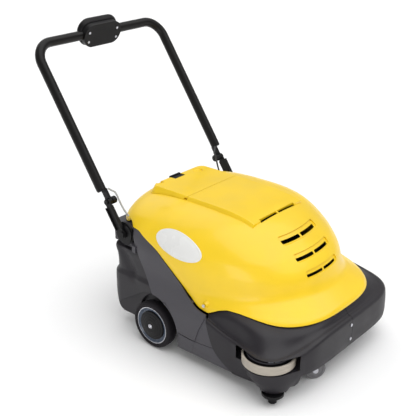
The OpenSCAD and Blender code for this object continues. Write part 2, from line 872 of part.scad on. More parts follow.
// Flat gear case over the spindle, with the motor standing beside it
module side_brush_motor() placed() color("#6f7378") {
  z0 = plate_z + post_t + 0.2;
  difference() {
    intersection() {
      translate([corner_x, corner_y, z0]) cylinder(h = 5.5, r = post_r - 4);
      translate([(corner_x + hub_x) / 2, (corner_y + hub_y) / 2, z0]) rotate([0, 0, 50.6])
        translate([-70, -20, -1]) cube([140, 40, 20]);
    }
    translate([hub_x, hub_y, 0]) cylinder(h = z0 + 4, r = hub_shaft_r + fit);
  }
  translate([corner_x + 30, corner_y + 40, z0 + 5.5 - eps]) cylinder(h = 18, r = 32);
}

// Spindle that the side brush pushes onto, with its flange
module side_brush_hub() placed() color("#2f2d31") {
  translate([hub_x, hub_y, hub_low]) {
    cylinder(h = hub_stem_h + eps, r = hub_stem_r);
    translate([0, 0, hub_stem_h]) cylinder(h = 10, r = hub_flange_r);
    translate([0, 0, hub_stem_h]) cylinder(h = 22, r = 16);
    cylinder(h = plate_z + post_t + 3 - hub_low, r = hub_shaft_r);
  }
}

module battery() placed() color("#2e3338") {
  z0 = deck_z + shell_t;
  box(-170, 170, -232, -66, z0, z0 + 168);
  for (x = [-130, 130]) translate([x, -90, z0 + 168 - eps]) cylinder(h = 14, r = 9);
}

module charger() placed() color("#474b50") {
  z0 = deck_z + shell_t;
  box(60, 210, -400, -270, z0, z0 + 74);
}

module suction_fan() placed() color("#3b3f43") {
  z0 = deck_z + shell_t;
  translate([-110, -330, z0]) {
    cylinder(h = 60, r = 74);
    cylinder(h = 104, r = 42);
  }
}

module dust_filter() placed() color("#dcdcd6") {
  box(-filter_w / 2, filter_w / 2, 78, 142, hopper_top + 0.5, 398);
}

// ---- handle ----

// Frame of the handle: +Y runs up along it from the tilt pivot
module at_handle() {
  translate([0, pivot_y, pivot_z]) rotate([handle_lean, 0, 0]) children();
}

module pivot_discs() placed() color("#2b292c") {
  both_sides() translate([0, pivot_y, pivot_z]) difference() {
    union() {
      bar_x(yoke_x + eps, yoke_x + 8, disc_r);
      bar_x(yoke_x + 7, yoke_x + 12, disc_r - 6);
    }
    bar_x(yoke_x - 10, 400, pivot_bolt_r + fit);
  }
}

module pivot_bolts() placed() color("#a9a9ad") {
  both_sides() translate([0, pivot_y, pivot_z]) {
    bar_x(yoke_x - 8, arm_x + arm_t + 2, pivot_bolt_r);
    bar_x(arm_x + arm_t + 0.3, arm_x + arm_t + 5, 12);
  }
}

module arm() {
  at_handle() difference() {
    union() {
      box(arm_x, arm_x + arm_t, 0, fold_at, -13, 13);
      bar_x(arm_x, arm_x + arm_t, 16);
      translate([0, fold_at, 0]) bar_x(arm_x, arm_x + arm_t, 13);
      for (side = [-1, 1]) box(arm_x, arm_x + arm_t + 6, 22, fold_at - 18, side * 15 - 2.5, side * 15 + 2.5);
    }
    bar_x(0, 400, pivot_bolt_r + fit);
    translate([0, fold_at, 0]) bar_x(0, 400, fold_bolt_r + fit);
  }
}

module arm_right() placed() color("#3f3b3d") mirror([1, 0, 0]) arm();
module arm_left() placed() color("#3f3b3d") arm();

// Clamp knob with its own bolt, on the inner side of the arm
module fold_knob() {
  at_handle() translate([0, fold_at, 0]) {
    bar_x(arm_x - 30, arm_x + arm_t + 5, fold_bolt_r);
    bar_x(arm_x - 32, arm_x - 14, 14);
    bar_x(arm_x - 14 - eps, arm_x - 12, 9);
    bar_x(arm_x + arm_t + 0.3, arm_x + arm_t + 6, 9);
  }
}

module fold_knob_right() placed() color("#242326") mirror([1, 0, 0]) fold_knob();
module fold_knob_left() placed() color("#242326") fold_knob();

// Flat ends of the upper handle, plugged into the tube
module handle_ends() placed() color("#38353a") {
  both_sides() at_handle() difference() {
    union() {
      box(arm_x - 11, arm_x - 0.5, fold_at, tube_from, -12, 12);
      translate([0, fold_at, 0]) bar_x(arm_x - 11, arm_x - 0.5, 13);
      translate([handle_x, tube_from - 4, 0]) rotate([-90, 0, 0]) cylinder(h = 40, r = tube_r - 2);
    }
    translate([0, fold_at, 0]) bar_x(0, 400, fold_bolt_r + fit);
  }
}

// Half of the U, from the middle of the crossbar to one end
module half_loop(r, extra) {
  translate([handle_x, tube_from - extra, 0]) rotate([-90, 0, 0])
    cylinder(h = handle_len - bend_r - tube_from + extra, r = r);
  translate([handle_x - bend_r, handle_len - bend_r, 0]) rotate_extrude(angle = 90)
    translate([bend_r, 0]) circle(r = r);
  translate([0, handle_len, 0]) bar_x(-eps, handle_x - bend_r, r);
}

module handle_tube() placed() color("#434040") {
  at_handle() difference() {
    both_sides() half_loop(tube_r, 0);
    both_sides() half_loop(tube_r - 2, 1);
  }
}

// Frame of the control pod: +Z points up and back towards the operator
module at_pod() {
  at_handle() translate([0, handle_len, 0]) rotate([-handle_lean + pod_turn, 0, 0]) children();
}

module pod_plan(inset) {
  square([2 * pod_end, 2 * (pod_r - inset)], center = true);
  for (side = [-1, 1]) translate([side * pod_end, 0]) circle(r = pod_r - inset);
}

function dome_profile(t) = [[0, 0], [pod_r - t, 0], [pod_r - 2 - t, 12], [pod_r - 8 - t, 24 - t],
  [pod_r - 20 - t, 34 - t], [pod_r - 34 - t, 39 - t], [0, 41 - t]];

// Dome over the pod: a run along the bar with a turned end on either side
module pod_dome(t) {
  for (side = [0, 1]) mirror([side, 0, 0])
    translate([pod_end, 0, 0]) rotate([0, 0, -90]) rotate_extrude(angle = 180) polygon(dome_profile(t));
  across(-pod_end, pod_end) polygon(concat(dome_profile(t),
    [for (i = [len(dome_profile(t)) - 2 : -1 : 1]) [-dome_profile(t)[i][0], dome_profile(t)[i][1]]]));
}

module pod_top() placed() color("#2f2c2d") {
  at_pod() difference() {
    pod_dome(0);
    intersection() {
      translate([0, 0, -1]) pod_dome(3);
      box(-pod_end, pod_end, -100, 100, -5, 100);
    }
    bar_x(-200, 200, tube_r + fit);
    box(-switch_l / 2 - 1, switch_l / 2 + 1, -switch_w / 2 - 1, switch_w / 2 + 1, 20, 60);
  }
}

module pod_bottom() placed() color("#4a4446") {
  at_pod() difference() {
    translate([0, 0, -24]) linear_extrude(24 - gap / 4) pod_plan(2);
    translate([0, 0, -20]) linear_extrude(30) pod_plan(5);
    bar_x(-200, 200, tube_r + fit);
    pod_screw_places() cylinder(h = 20, r = 2 + fit);
  }
}

module pod_screw_places() {
  for (x = [-72, 72], y = [-16, 22]) translate([x, y, -25.5]) children();
}

module pod_screws() placed() color("#b9b9bd") {
  at_pod() pod_screw_places() {
    cylinder(h = 1.5, r = 5);
    cylinder(h = 5.5, r = 2);
  }
}

module pod_switch() placed() color("#b3312c") {
  at_pod() {
    box(-switch_l / 2, switch_l / 2, -switch_w / 2, switch_w / 2, 36, 43);
    translate([0, 0, 34]) bar_x(-switch_l / 2 + 4, switch_l / 2 - 4, 3);
  }
}

// A cord of radius cable_r through the given points, as one skin with eight sides
module cord(points) {
  n = len(points);
  loft([for (i = [0 : n - 1])
    let (a = points[max(i - 1, 0)], b = points[min(i + 1, n - 1)], d = (b - a) / norm(b - a),
      side = cross(d, [1, 0, 0]) / norm(cross(d, [1, 0, 0])), out = cross(side, d))
    [for (k = [0 : 7]) points[i] + cable_r * (cos(45 * k) * side + sin(45 * k) * out)]]);
}

module cable_right() placed() color("#cfcfcf") mirror([1, 0, 0]) cord(cable_lower);
module cable_left() placed() color("#262628") cord(cable_lower);
module cable_right_end() placed() color("#cfcfcf") mirror([1, 0, 0]) cord(cable_upper);
module cable_left_end() placed() color("#262628") cord(cable_upper);

chassis_tub();
bumper_right();
bumper_left();
body_screws();
corner_plate();
roller_post();
roller_core();
roller_tyre();
hood();
badges();
lid();
lid_hinge_pins();
lid_latch();
hopper();
hopper_clip_right();
hopper_clip_left();
frame_rails();
stub_axles();
wheel_right_tyre();
wheel_right_rim();
wheel_right_cap();
wheel_right_bolt();
wheel_left_tyre();
wheel_left_rim();
wheel_left_cap();
wheel_left_bolt();
caster_plates();
caster_right_fork();
caster_right_wheel();
caster_left_fork();
caster_left_wheel();
broom_core();
broom_bristles();
broom_bearings();
broom_motor();
motor_pulley();
broom_pulley();
drive_belt();
side_brush_motor();
side_brush_hub();
battery();
charger();
suction_fan();
dust_filter();
pivot_discs();
pivot_bolts();
arm_right();
arm_left();
fold_knob_right();
fold_knob_left();
handle_tube();
handle_ends();
pod_top();
pod_bottom();
pod_screws();
pod_switch();
cable_right();
cable_left();
cable_right_end();
cable_left_end();
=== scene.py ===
import json
import math
import bmesh
import bpy
import numpy as np
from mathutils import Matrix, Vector


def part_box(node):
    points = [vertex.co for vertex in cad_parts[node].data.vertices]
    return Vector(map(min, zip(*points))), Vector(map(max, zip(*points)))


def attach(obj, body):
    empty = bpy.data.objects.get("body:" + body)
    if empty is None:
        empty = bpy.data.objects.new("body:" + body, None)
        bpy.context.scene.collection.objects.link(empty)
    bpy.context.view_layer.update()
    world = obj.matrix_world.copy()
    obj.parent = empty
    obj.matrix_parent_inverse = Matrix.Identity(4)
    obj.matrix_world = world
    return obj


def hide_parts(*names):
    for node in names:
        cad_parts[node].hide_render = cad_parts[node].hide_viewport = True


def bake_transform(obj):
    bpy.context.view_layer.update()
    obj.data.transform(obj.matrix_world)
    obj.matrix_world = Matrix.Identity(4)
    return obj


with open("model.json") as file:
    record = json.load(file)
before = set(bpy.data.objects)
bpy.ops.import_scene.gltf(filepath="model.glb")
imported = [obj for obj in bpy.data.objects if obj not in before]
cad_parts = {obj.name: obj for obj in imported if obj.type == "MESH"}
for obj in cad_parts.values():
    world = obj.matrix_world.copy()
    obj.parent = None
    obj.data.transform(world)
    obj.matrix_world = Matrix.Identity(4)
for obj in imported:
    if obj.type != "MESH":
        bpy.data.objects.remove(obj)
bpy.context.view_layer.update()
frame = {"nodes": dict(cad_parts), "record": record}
nodes = frame["nodes"]
scene = bpy.context.scene

# ---------------------------------------------------------------- frame
# All shapes below are written in millimetres in the machine's own coordinates: +Z up,
# front = -Y, right-hand side = -X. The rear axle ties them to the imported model.
# Places are (y, z) for the axle and the handle's pivots, (x, y) for what stands upright.
AXLE_AT = (-41, 90)
PIVOT_AT = (136, 390)
ROLLER_AT = (-305, -530)
SIDE_BRUSH_AT = (-346, -580)
CASTER_X, CASTER_Y = 160, -585
HALF_SPAN = 460
WHEEL = np.array([-345.0, *AXLE_AT])
_lo, _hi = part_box("wheel_right_tyre")
SHIFT = np.array(((_lo + _hi) / 2)[:]) - WHEEL / 1000.0


def row(points):
    """Machine millimetres to the row frame in metres."""
    return np.asarray(points, float) / 1000.0 + SHIFT


# ---------------------------------------------------------------- meshes
def new_object(name, points, faces):
    mesh = bpy.data.meshes.new(name)
    mesh.from_pydata([tuple(p) for p in row(points)], [], [tuple(int(i) for i in f) for f in faces])
    mesh.validate()
    obj = bpy.data.objects.new(name, mesh)
    scene.collection.objects.link(obj)
    return obj


def finish(obj, material, body, node=None, angle=34):
    """Smooth shading, a material and a ride; the piece may stand for CAD nodes."""
    mesh = obj.data
    mesh.polygons.foreach_set("use_smooth", [True] * len(mesh.polygons))
    mesh.set_sharp_from_angle(angle=math.radians(angle))
    mesh.materials.clear()
    mesh.materials.append(material)
    if body:
        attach(obj, body)
    if node:
        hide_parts(*([node] if isinstance(node, str) else node))
    return obj


def boolean(obj, tools, operation="DIFFERENCE"):
    """Apply boolean operations and throw the tools away."""
    for tool in tools:
        mod = obj.modifiers.new("b", "BOOLEAN")
        mod.operation, mod.object, mod.solver = operation, tool, "MANIFOLD"
    graph = bpy.context.evaluated_depsgraph_get()
    mesh = bpy.data.meshes.new_from_object(obj.evaluated_get(graph))
    obj.modifiers.clear()
    obj.data = mesh
    for tool in tools:
        bpy.data.objects.remove(tool)
    return obj


def loft(name, rings, closed_ends=True):
    """Skin over rings of equal length, closed from the middle of the two end rings."""
    rings = np.asarray(rings, float)
    m, n, _ = rings.shape
    pts = rings.reshape(-1, 3)
    i = np.arange(n)
    j = (i + 1) % n
    faces = []
    for k in range(m - 1):
        faces.append(np.stack([k * n + i, k * n + j, (k + 1) * n + j, (k + 1) * n + i], 1))
    faces = [tuple(f) for f in np.concatenate(faces)]
    if closed_ends:
        pts = np.vstack([pts, rings[0].mean(0), rings[-1].mean(0)])
        faces += [(m * n, b, a) for a, b in zip(i, j)]
        faces += [(m * n + 1, (m - 1) * n + a, (m - 1) * n + b) for a, b in zip(i, j)]
    return new_object(name, pts, faces)


def prism(name, profile, x0, x1):
    """A side view shape of (y, z) points, counter-clockwise, from x0 to x1."""
    profile = np.asarray(profile, float)
    y, z = profile[:, 0], profile[:, 1]
    if np.sum(y * np.roll(z, -1) - np.roll(y, -1) * z) < 0:
        profile = profile[::-1]
    n = len(profile)
    a = np.column_stack([np.full(n, x0), profile])
    b = np.column_stack([np.full(n, x1), profile])
    faces = [tuple(range(n))[::-1], tuple(range(n, 2 * n))]
    faces += [(i, (i + 1) % n, n + (i + 1) % n, n + i) for i in range(n)]
    return new_object(name, np.vstack([a, b]), faces)


def block(x0, x1, y0, y1, z0, z1, name="block"):
    return prism(name, [(y0, z0), (y1, z0), (y1, z1), (y0, z1)], x0, x1)


def turned(name, profile, centre, axis="x", steps=128):
    """Closed (distance along axis, radius) profile turned about an axis through centre."""
    profile = np.asarray(profile, float)
    a = np.linspace(0, 2 * math.pi, steps, endpoint=False)
    d, r = profile[:, 0], np.maximum(profile[:, 1], 0)
    rings = []
    for dd, rr in zip(d, r):
        u, v, w = np.full(steps, dd), rr * np.cos(a), rr * np.sin(a)
        rings.append(np.column_stack({"x": (u, v, w), "y": (w, u, v), "z": (v, w, u)}[axis]) + centre)
    pts = np.vstack(rings)
    n, m, faces = steps, len(profile), []
    for k in range(m):
        q = (k + 1) % m
        if r[k] < 1e-6 and r[q] < 1e-6:
            continue
        for i in range(n):
            j = (i + 1) % n
            faces.append((k * n + i, q * n + i, q * n + j, k * n + j))
    obj = new_object(name, pts, faces)
    weld(obj)
    return obj


def weld(obj, distance=1e-6):
    bm = bmesh.new()
    bm.from_mesh(obj.data)
    bmesh.ops.remove_doubles(bm, verts=bm.verts, dist=distance)
    bmesh.ops.dissolve_degenerate(bm, edges=bm.edges, dist=distance)
    bmesh.ops.recalc_face_normals(bm, faces=bm.faces)
    bm.to_mesh(obj.data)
    bm.free()


def bar(x0, x1, y, z, r, steps=96, name="bar"):
    return turned(name, [(x0, 0), (x1, 0), (x1, r), (x0, r)], (0, y, z), "x", steps)


def pchip(x, y, q):
    """Monotone cubic interpolation of the columns of y."""
    x, y, q = np.asarray(x, float), np.asarray(y, float), np.asarray(q, float)
    flat = y.ndim == 1
    y = y[:, None] if flat else y
    h = np.diff(x)[:, None]
    d = np.diff(y, axis=0) / h
    m = np.zeros_like(y)
    same = d[:-1] * d[1:] > 0
    w1, w2 = 2 * h[1:] + h[:-1], h[1:] + 2 * h[:-1]
    with np.errstate(divide="ignore", invalid="ignore"):
        inner = (w1 + w2) / (w1 / d[:-1] + w2 / d[1:])
    m[1:-1] = np.where(same, inner, 0)
    m[0], m[-1] = d[0], d[-1]
    k = np.clip(np.searchsorted(x, q, side="right") - 1, 0, len(x) - 2)
    t = ((q - x[k]) / h[k, 0])[:, None]
    out = ((1 + 2 * t) * (1 - t) ** 2 * y[k] + t * (1 - t) ** 2 * h[k] * m[k]
           + t * t * (3 - 2 * t) * y[k + 1] + t * t * (t - 1) * h[k] * m[k + 1])
    return out[:, 0] if flat else out


# ---------------------------------------------------------------- materials
def linear(r, g, b):
    """An sRGB colour out of 255 as linear values."""
    out = []
    for c in (r, g, b):
        c /= 255.0
        out.append(c / 12.92 if c <= 0.04045 else ((c + 0.055) / 1.055) ** 2.4)
    return out + [1.0]


def material(name, colour, rough=0.5, spread=0.12, blotch=9.0, grain=700.0, bump=0.05, edge=0.8,
             metal=0.0, rough_spread=0.08, coat=0.0, specular=0.5, stretch=None, wear=None, sheen=0.0):
    """Moulded or metal surface: slow colour drift, fine grain, softened edges."""
    mat = bpy.data.materials.new(name)
    mat.use_nodes = True
    nt = mat.node_tree
    n, link = nt.nodes, nt.links.new
    bsdf = n["Principled BSDF"]
    bsdf.inputs["Metallic"].default_value = metal
    bsdf.inputs["Specular IOR Level"].default_value = specular
    if coat:
        bsdf.inputs["Coat Weight"].default_value = coat
        bsdf.inputs["Coat Roughness"].default_value = 0.12
    if sheen:
        bsdf.inputs["Sheen Weight"].default_value = sheen
    coords = n.new("ShaderNodeTexCoord")
    place = n.new("ShaderNodeMapping")
    if stretch:
        place.inputs["Scale"].default_value = stretch
    link(coords.outputs["Object"], place.inputs["Vector"])
    slow = n.new("ShaderNodeTexNoise")
    slow.inputs["Scale"].default_value = blotch
    slow.inputs["Detail"].default_value = 5.0
    link(place.outputs["Vector"], slow.inputs["Vector"])
    fine = n.new("ShaderNodeTexNoise")
    fine.inputs["Scale"].default_value = grain
    fine.inputs["Detail"].default_value = 3.0
    link(place.outputs["Vector"], fine.inputs["Vector"])
    ramp = n.new("ShaderNodeValToRGB")
    base = np.array(colour[:3])
    ramp.color_ramp.elements[0].position = 0.3
    ramp.color_ramp.elements[1].position = 0.72
    ramp.color_ramp.elements[0].color = list(np.clip(base * (1 - spread), 0, 1)) + [1]
    ramp.color_ramp.elements[1].color = list(np.clip(base * (1 + spread), 0, 1)) + [1]
    link(slow.outputs["Fac"], ramp.inputs["Fac"])
    speck = n.new("ShaderNodeMix")
    speck.data_type = "RGBA"
    speck.blend_type = "OVERLAY"
    speck.inputs["Factor"].default_value = 0.10
    link(ramp.outputs["Color"], speck.inputs["A"])
    link(fine.outputs["Color"], speck.inputs["B"])
    final = speck.outputs["Result"]
    bevel = n.new("ShaderNodeBevel")
    bevel.samples = 6
    bevel.inputs["Radius"].default_value = edge / 1000.0
    if wear:
        geo = n.new("ShaderNodeNewGeometry")
        span = n.new("ShaderNodeMapRange")
        span.inputs["From Min"].default_value = 0.52
        span.inputs["From Max"].default_value = 0.62
        span.inputs["To Max"].default_value = 0.5
        link(geo.outputs["Pointiness"], span.inputs["Value"])
        worn = n.new("ShaderNodeMix")
        worn.data_type = "RGBA"
        worn.inputs["B"].default_value = wear
        link(span.outputs["Result"], worn.inputs["Factor"])
        link(final, worn.inputs["A"])
        final = worn.outputs["Result"]
    link(final, bsdf.inputs["Base Color"])
    shine = n.new("ShaderNodeMapRange")
    shine.inputs["From Min"].default_value = 0.3
    shine.inputs["From Max"].default_value = 0.7
    shine.inputs["To Min"].default_value = max(rough - rough_spread, 0.02)
    shine.inputs["To Max"].default_value = min(rough + rough_spread, 1.0)
    link(slow.outputs["Fac"], shine.inputs["Value"])
    link(shine.outputs["Result"], bsdf.inputs["Roughness"])
    relief = n.new("ShaderNodeBump")
    relief.inputs["Strength"].default_value = bump
    relief.inputs["Distance"].default_value = 0.0006
    link(fine.outputs["Fac"], relief.inputs["Height"])
    link(bevel.outputs["Normal"], relief.inputs["Normal"])
    link(relief.outputs["Normal"], bsdf.inputs["Normal"])
    return mat


YELLOW = material("hood_yellow", linear(240, 201, 10), rough=0.42, spread=0.04, bump=0.05, edge=1.6,
                  coat=0.25, grain=520)
GREY = material("base_grey", linear(60, 58, 64), rough=0.46, spread=0.08, bump=0.12, edge=1.4)
BUMPER = material("bumper_grey", linear(31, 28, 33), specular=0.36, rough=0.45,
                  spread=0.08, bump=0.10, edge=2.0)
HOPPER = material("hopper_grey", linear(40, 38, 42), specular=0.36, rough=0.5,
                  spread=0.08, bump=0.16, edge=3.0)
BLACK = material("black_plastic", linear(11, 10, 12), specular=0.22, rough=0.42,
                 spread=0.12, bump=0.12, edge=0.8)
POD = material("pod_black", linear(15, 13, 15), specular=0.22, rough=0.4, spread=0.1, bump=0.14, edge=1.2)
WHITE = material("badge_white", linear(226, 226, 224), rough=0.3, spread=0.02, bump=0.02, edge=0.6)
ZINC = material("zinc", linear(196, 196, 202), rough=0.3, spread=0.08, metal=1.0, grain=900, bump=0.05,
                edge=0.5, blotch=60)
RIM = material("rim_steel", linear(205, 205, 210), rough=0.28, spread=0.06, metal=1.0, grain=1100,
               bump=0.05, edge=0.7, blotch=40)
STEEL = material("frame_black", linear(13, 12, 13), specular=0.22, rough=0.5,
                 spread=0.12, grain=1500, bump=0.2, edge=0.7)
HANDLE = material("handle_coat", linear(14, 12, 12), specular=0.22, rough=0.36,
                  spread=0.08, grain=1600, bump=0.12,
                  edge=0.6)
TYRE = material("tyre_rubber", linear(24, 21, 25), specular=0.22, rough=0.7,
                spread=0.14, grain=900, bump=0.5, edge=1.2)
ROLLER = material("roller_rubber", linear(168, 160, 148), rough=0.55, spread=0.1, grain=260, bump=0.3,
                  edge=1.4, stretch=(1, 1, 8), blotch=26)
CASTER = material("caster_rubber", linear(112, 111, 113), rough=0.6, spread=0.1, bump=0.2, edge=0.9)
BRISTLE = material("bristle", linear(26, 25, 26), rough=0.7, spread=0.3, grain=900, bump=1.0, edge=0.5,
                   sheen=0.2)
CREAM = material("cream_plastic", linear(220, 212, 194), rough=0.5, spread=0.05, bump=0.08)
CAN = material("motor_paint", linear(110, 114, 120), rough=0.42, spread=0.08, bump=0.15)
ALU = material("turned_aluminium", linear(178, 178, 182), rough=0.32, spread=0.06, metal=1.0, grain=900)
BELT = material("belt_rubber", linear(32, 31, 32), rough=0.7, spread=0.15, bump=0.3)
CASE = material("battery_case", linear(50, 55, 60), rough=0.48, spread=0.1, bump=0.1)
PAPER = material("filter_paper", linear(224, 220, 208), rough=0.9, spread=0.06, grain=500, bump=0.5)
RED = material("switch_red", linear(178, 42, 34), rough=0.3, spread=0.06, bump=0.04, edge=0.8)
# the right cable is the same dark cable as the left one; its light grey is a painted highlight
CABLE_PAINTED_HIGHLIGHT = material("cable_painted_highlight", linear(176, 176, 174), rough=0.45, spread=0.06, bump=0.1)
CABLE_DARK = material("cable_black", linear(42, 42, 45), rough=0.45, spread=0.1, bump=0.1)

BY_SLOT = {
    "base_plastic": GREY, "bumper_plastic": BUMPER, "zinc": ZINC, "black_plastic": BLACK,
    "pod_plastic": POD, "roller_rubber": ROLLER, "hood_plastic": YELLOW, "badge": WHITE,
    "hopper_plastic": HOPPER, "frame_steel": STEEL, "tyre": TYRE, "rim_metal": RIM,
    "caster_rubber": CASTER, "broom_tube": CREAM, "bristle": BRISTLE, "motor_case": CAN,
    "pulley": ALU, "belt": BELT, "battery_case": CASE, "filter_paper": PAPER,
    "handle_coat": HANDLE, "switch_red": RED, "cable_light": CABLE_PAINTED_HIGHLIGHT, "cable_dark": CABLE_DARK}
for part in frame["record"]["subparts"]:
    obj = nodes[part["node"]]
    obj.data.materials.clear()
    obj.data.materials.append(BY_SLOT[part["material_slot"]])
nodes["pivot_bolts"].data.materials[0] = STEEL


def ringed(mat, y, z, r0, r1, dish_tone_and_shade):
    """Keep the metal only between two radii round an axle; the rest of the face gets a flat dark blue-grey,
    partly its own colour and partly painted shade of the recessed dish.
    """
    nt = mat.node_tree
    n, link = nt.nodes, nt.links.new
    bsdf = n["Principled BSDF"]
    parts = n.new("ShaderNodeSeparateXYZ")
    link(n["Texture Coordinate"].outputs["Object"], parts.inputs["Vector"])
    flat = n.new("ShaderNodeCombineXYZ")
    link(parts.outputs["Y"], flat.inputs["X"])
    link(parts.outputs["Z"], flat.inputs["Y"])
    away = n.new("ShaderNodeVectorMath")
    away.operation = "DISTANCE"
    away.inputs[1].default_value = (y, z, 0)
    link(flat.outputs["Vector"], away.inputs[0])
    gap = n.new("ShaderNodeMath")
    gap.operation = "SUBTRACT"
    gap.inputs[1].default_value = (r0 + r1) / 2
    link(away.outputs["Value"], gap.inputs[0])
    off = n.new("ShaderNodeMath")
    off.operation = "ABSOLUTE"
    link(gap.outputs["Value"], off.inputs[0])
    mask = n.new("ShaderNodeMapRange")
    mask.inputs["From Min"].default_value = (r1 - r0) / 2 + 0.0004
    mask.inputs["From Max"].default_value = (r1 - r0) / 2 - 0.0004
    link(off.outputs["Value"], mask.inputs["Value"])
    dish_shade_mix = n.new("ShaderNodeMix")
    dish_shade_mix.data_type = "RGBA"
    dish_shade_mix.inputs["A"].default_value = dish_tone_and_shade
    link(mask.outputs["Result"], dish_shade_mix.inputs["Factor"])
    link(bsdf.inputs["Base Color"].links[0].from_socket, dish_shade_mix.inputs["B"])
    link(dish_shade_mix.outputs["Result"], bsdf.inputs["Base Color"])
    link(mask.outputs["Result"], bsdf.inputs["Metallic"])


AXLE = row((0, *AXLE_AT))
# outside the steel ring the wheel face is dark blue-grey: partly the dish's own colour, partly painted shade
# of its recess
ringed(RIM, float(AXLE[1]), float(AXLE[2]), 0.0690, 0.0725, linear(72, 82, 98))

# ---------------------------------------------------------------- body outlines
WAIST_Y = -100.0
AROUND = np.linspace(0, 2 * math.pi, 420, endpoint=False)


def reach_at(angle, s, inset=0.0):
    """Distance out from the middle of a plan outline (half width, front, rear, front n, rear n)."""
    c, si = np.cos(angle), np.sin(angle)
    n = np.where(c > 0, s[3], s[4])
    long = np.where(c > 0, s[1], s[2]) - inset
    return ((np.abs(si) / (s[0] - inset)) ** n + (np.abs(c) / long) ** n) ** (-1 / n)


def ring_points(angle, reach, z):
    return np.column_stack([reach * np.sin(angle), WAIST_Y - reach * np.cos(angle),
                            np.broadcast_to(z, angle.shape)])


UPPER = np.array([
    [200, 345, 545, 345, 3.0, 3.4], [226, 343, 536, 348, 3.0, 3.4], [244, 339, 530, 350, 2.9, 3.4],
    [262, 336, 500, 350, 2.6, 3.4], [286, 335, 462, 350, 2.3, 3.4], [305, 335, 450, 350, 2.25, 3.4],
    [350, 335, 433, 350, 2.25, 3.4], [400, 329, 392, 348, 2.25, 3.4], [430, 317, 356, 344, 2.25, 3.3],
    [456, 297, 320, 332, 2.3, 3.2], [480, 266, 284, 312, 2.4, 3.0], [496, 232, 250, 282, 2.5, 2.8],
    [506, 195, 216, 250, 2.6, 2.7], [514, 134, 166, 204, 2.6, 2.6]])


def upper_form(inset=0.0, drop=0.0):
    z = np.concatenate([np.linspace(200, 480, 62), np.linspace(484, 514, 14)])
    table = pchip(UPPER[:, 0], UPPER[:, 1:], z)
    rings = [ring_points(AROUND, reach_at(AROUND, s, inset), h - drop) for s, h in zip(table, z)]
    last = rings[-1]
    middle = last.mean(0)
    for f, rise in ((0.75, 1.5), (0.45, 2.6), (0.15, 3.0)):
        ring = middle + (last - middle) * f
        ring[:, 2] = last[:, 2] + rise
        rings.append(ring)
    return loft("upper", rings)


SEAM = np.array([(-720, 227), (-300, 227), (-256, 233), (-205, 262), (-150, 307), (-92, 353), (-42, 386),
                 (24, 411), (70, 424), (320, 420)], float)
_y = np.concatenate([[-720], np.linspace(-310, 320, 90)])
SEAM_FINE = np.column_stack([_y, pchip(SEAM[:, 0], SEAM[:, 1], _y)])


def above_seam():
    return prism("above", np.vstack([SEAM_FINE, [(320, 640), (-720, 640)]]), -420, 420)


SKIRT_RIGHT = np.array([(-1, 233), (10, 234), (26, 234), (30, 235.5), (34, 239.5), (38, 245.5), (42, 250.5),
                        (46, 254), (50, 255), (54, 249), (58, 236), (60, 229), (62, 226), (181, 226)], float)
SKIRT_LEFT = np.array([(-1, 233), (44, 233), (56, 230), (62, 226), (181, 226)], float)


def heading_of(angle):
    """Degrees off straight ahead, positive towards the machine's right."""
    return -((np.degrees(angle) + 180) % 360 - 180)


def by_heading(angle, right, left):
    """Height by direction, from one outline of (degrees off straight ahead, height) for each side."""
    heading = heading_of(angle)
    away = np.abs(heading)
    return np.where(heading > 0, pchip(right[:, 0], right[:, 1], away), pchip(left[:, 0], left[:, 1], away))


def skirt_height(angle):
    """Height of the hood's lower edge by direction; it arches over the right fender."""
    return by_heading(angle, SKIRT_RIGHT, SKIRT_LEFT)


def under_skirt():
    edge = skirt_height(AROUND)
    flat = np.ones(len(AROUND))
    return loft("under", [ring_points(AROUND, 760 * flat, 60 * flat), ring_points(AROUND, 760 * flat, edge),
                          ring_points(AROUND, 120 * flat, edge),
                          ring_points(AROUND, 100 * flat, 60 * flat)])


def below_seam(lower):
    line = SEAM_FINE - [0, lower]
    return prism("below", np.vstack([line, [(320, -20), (-720, -20)]]), -HALF_SPAN, HALF_SPAN)


# ---------------------------------------------------------------- raised panel and lid
PANEL_HALF, PANEL_FRONT, PANEL_REAR = 152.0, -326.0, 168.0
LID_FRONT = -22.0


def panel_height(y):
    return pchip([-340, -326, -300, -240, -180, 144, 158, 168], [500, 504.5, 513, 522, 526, 526, 525, 520], y)


def panel_form():
    rings = []
    for d, low in ((-4, None), (-4, 30), (-3, 27), (12, 1.6), (13.2, 0.5), (15, 0.05), (18, 0)):
        w, rear, r = PANEL_HALF - d, PANEL_REAR - max(d, 0) * 0.7, 30.0
        side = [(w, y) for y in np.linspace(PANEL_FRONT - 2, rear - r, 46)]
        a = np.linspace(0, math.pi / 2, 12)[1:]
        side += [(w - r + r * math.cos(t), rear - r + r * math.sin(t)) for t in a]
        side += [(x, rear) for x in np.linspace(w - r, 8, 12)[1:]]
        side = np.array(side)
        ring = np.vstack([side, (side * [-1, 1])[::-1]])
        z = np.full(len(ring), 440.0) if low is None else panel_height(ring[:, 1]) - low
        rings.append(np.column_stack([ring, z]))
    rings = np.array(rings)
    m, n, _ = rings.shape
    faces = []
    for k in range(m - 1):
        for i in range(n):
            j = (i + 1) % n
            faces.append((k * n + i, k * n + j, (k + 1) * n + j, (k + 1) * n + i))
    h = n // 2
    for i in range(h - 1):
        a, b, c, d = i, i + 1, n - 2 - i, n - 1 - i
        faces.append((a, d, c, b))
        faces.append(tuple((m - 1) * n + q for q in (a, b, c, d)))
    obj = new_object("panel", rings.reshape(-1, 3), faces)
    weld(obj)
    return obj


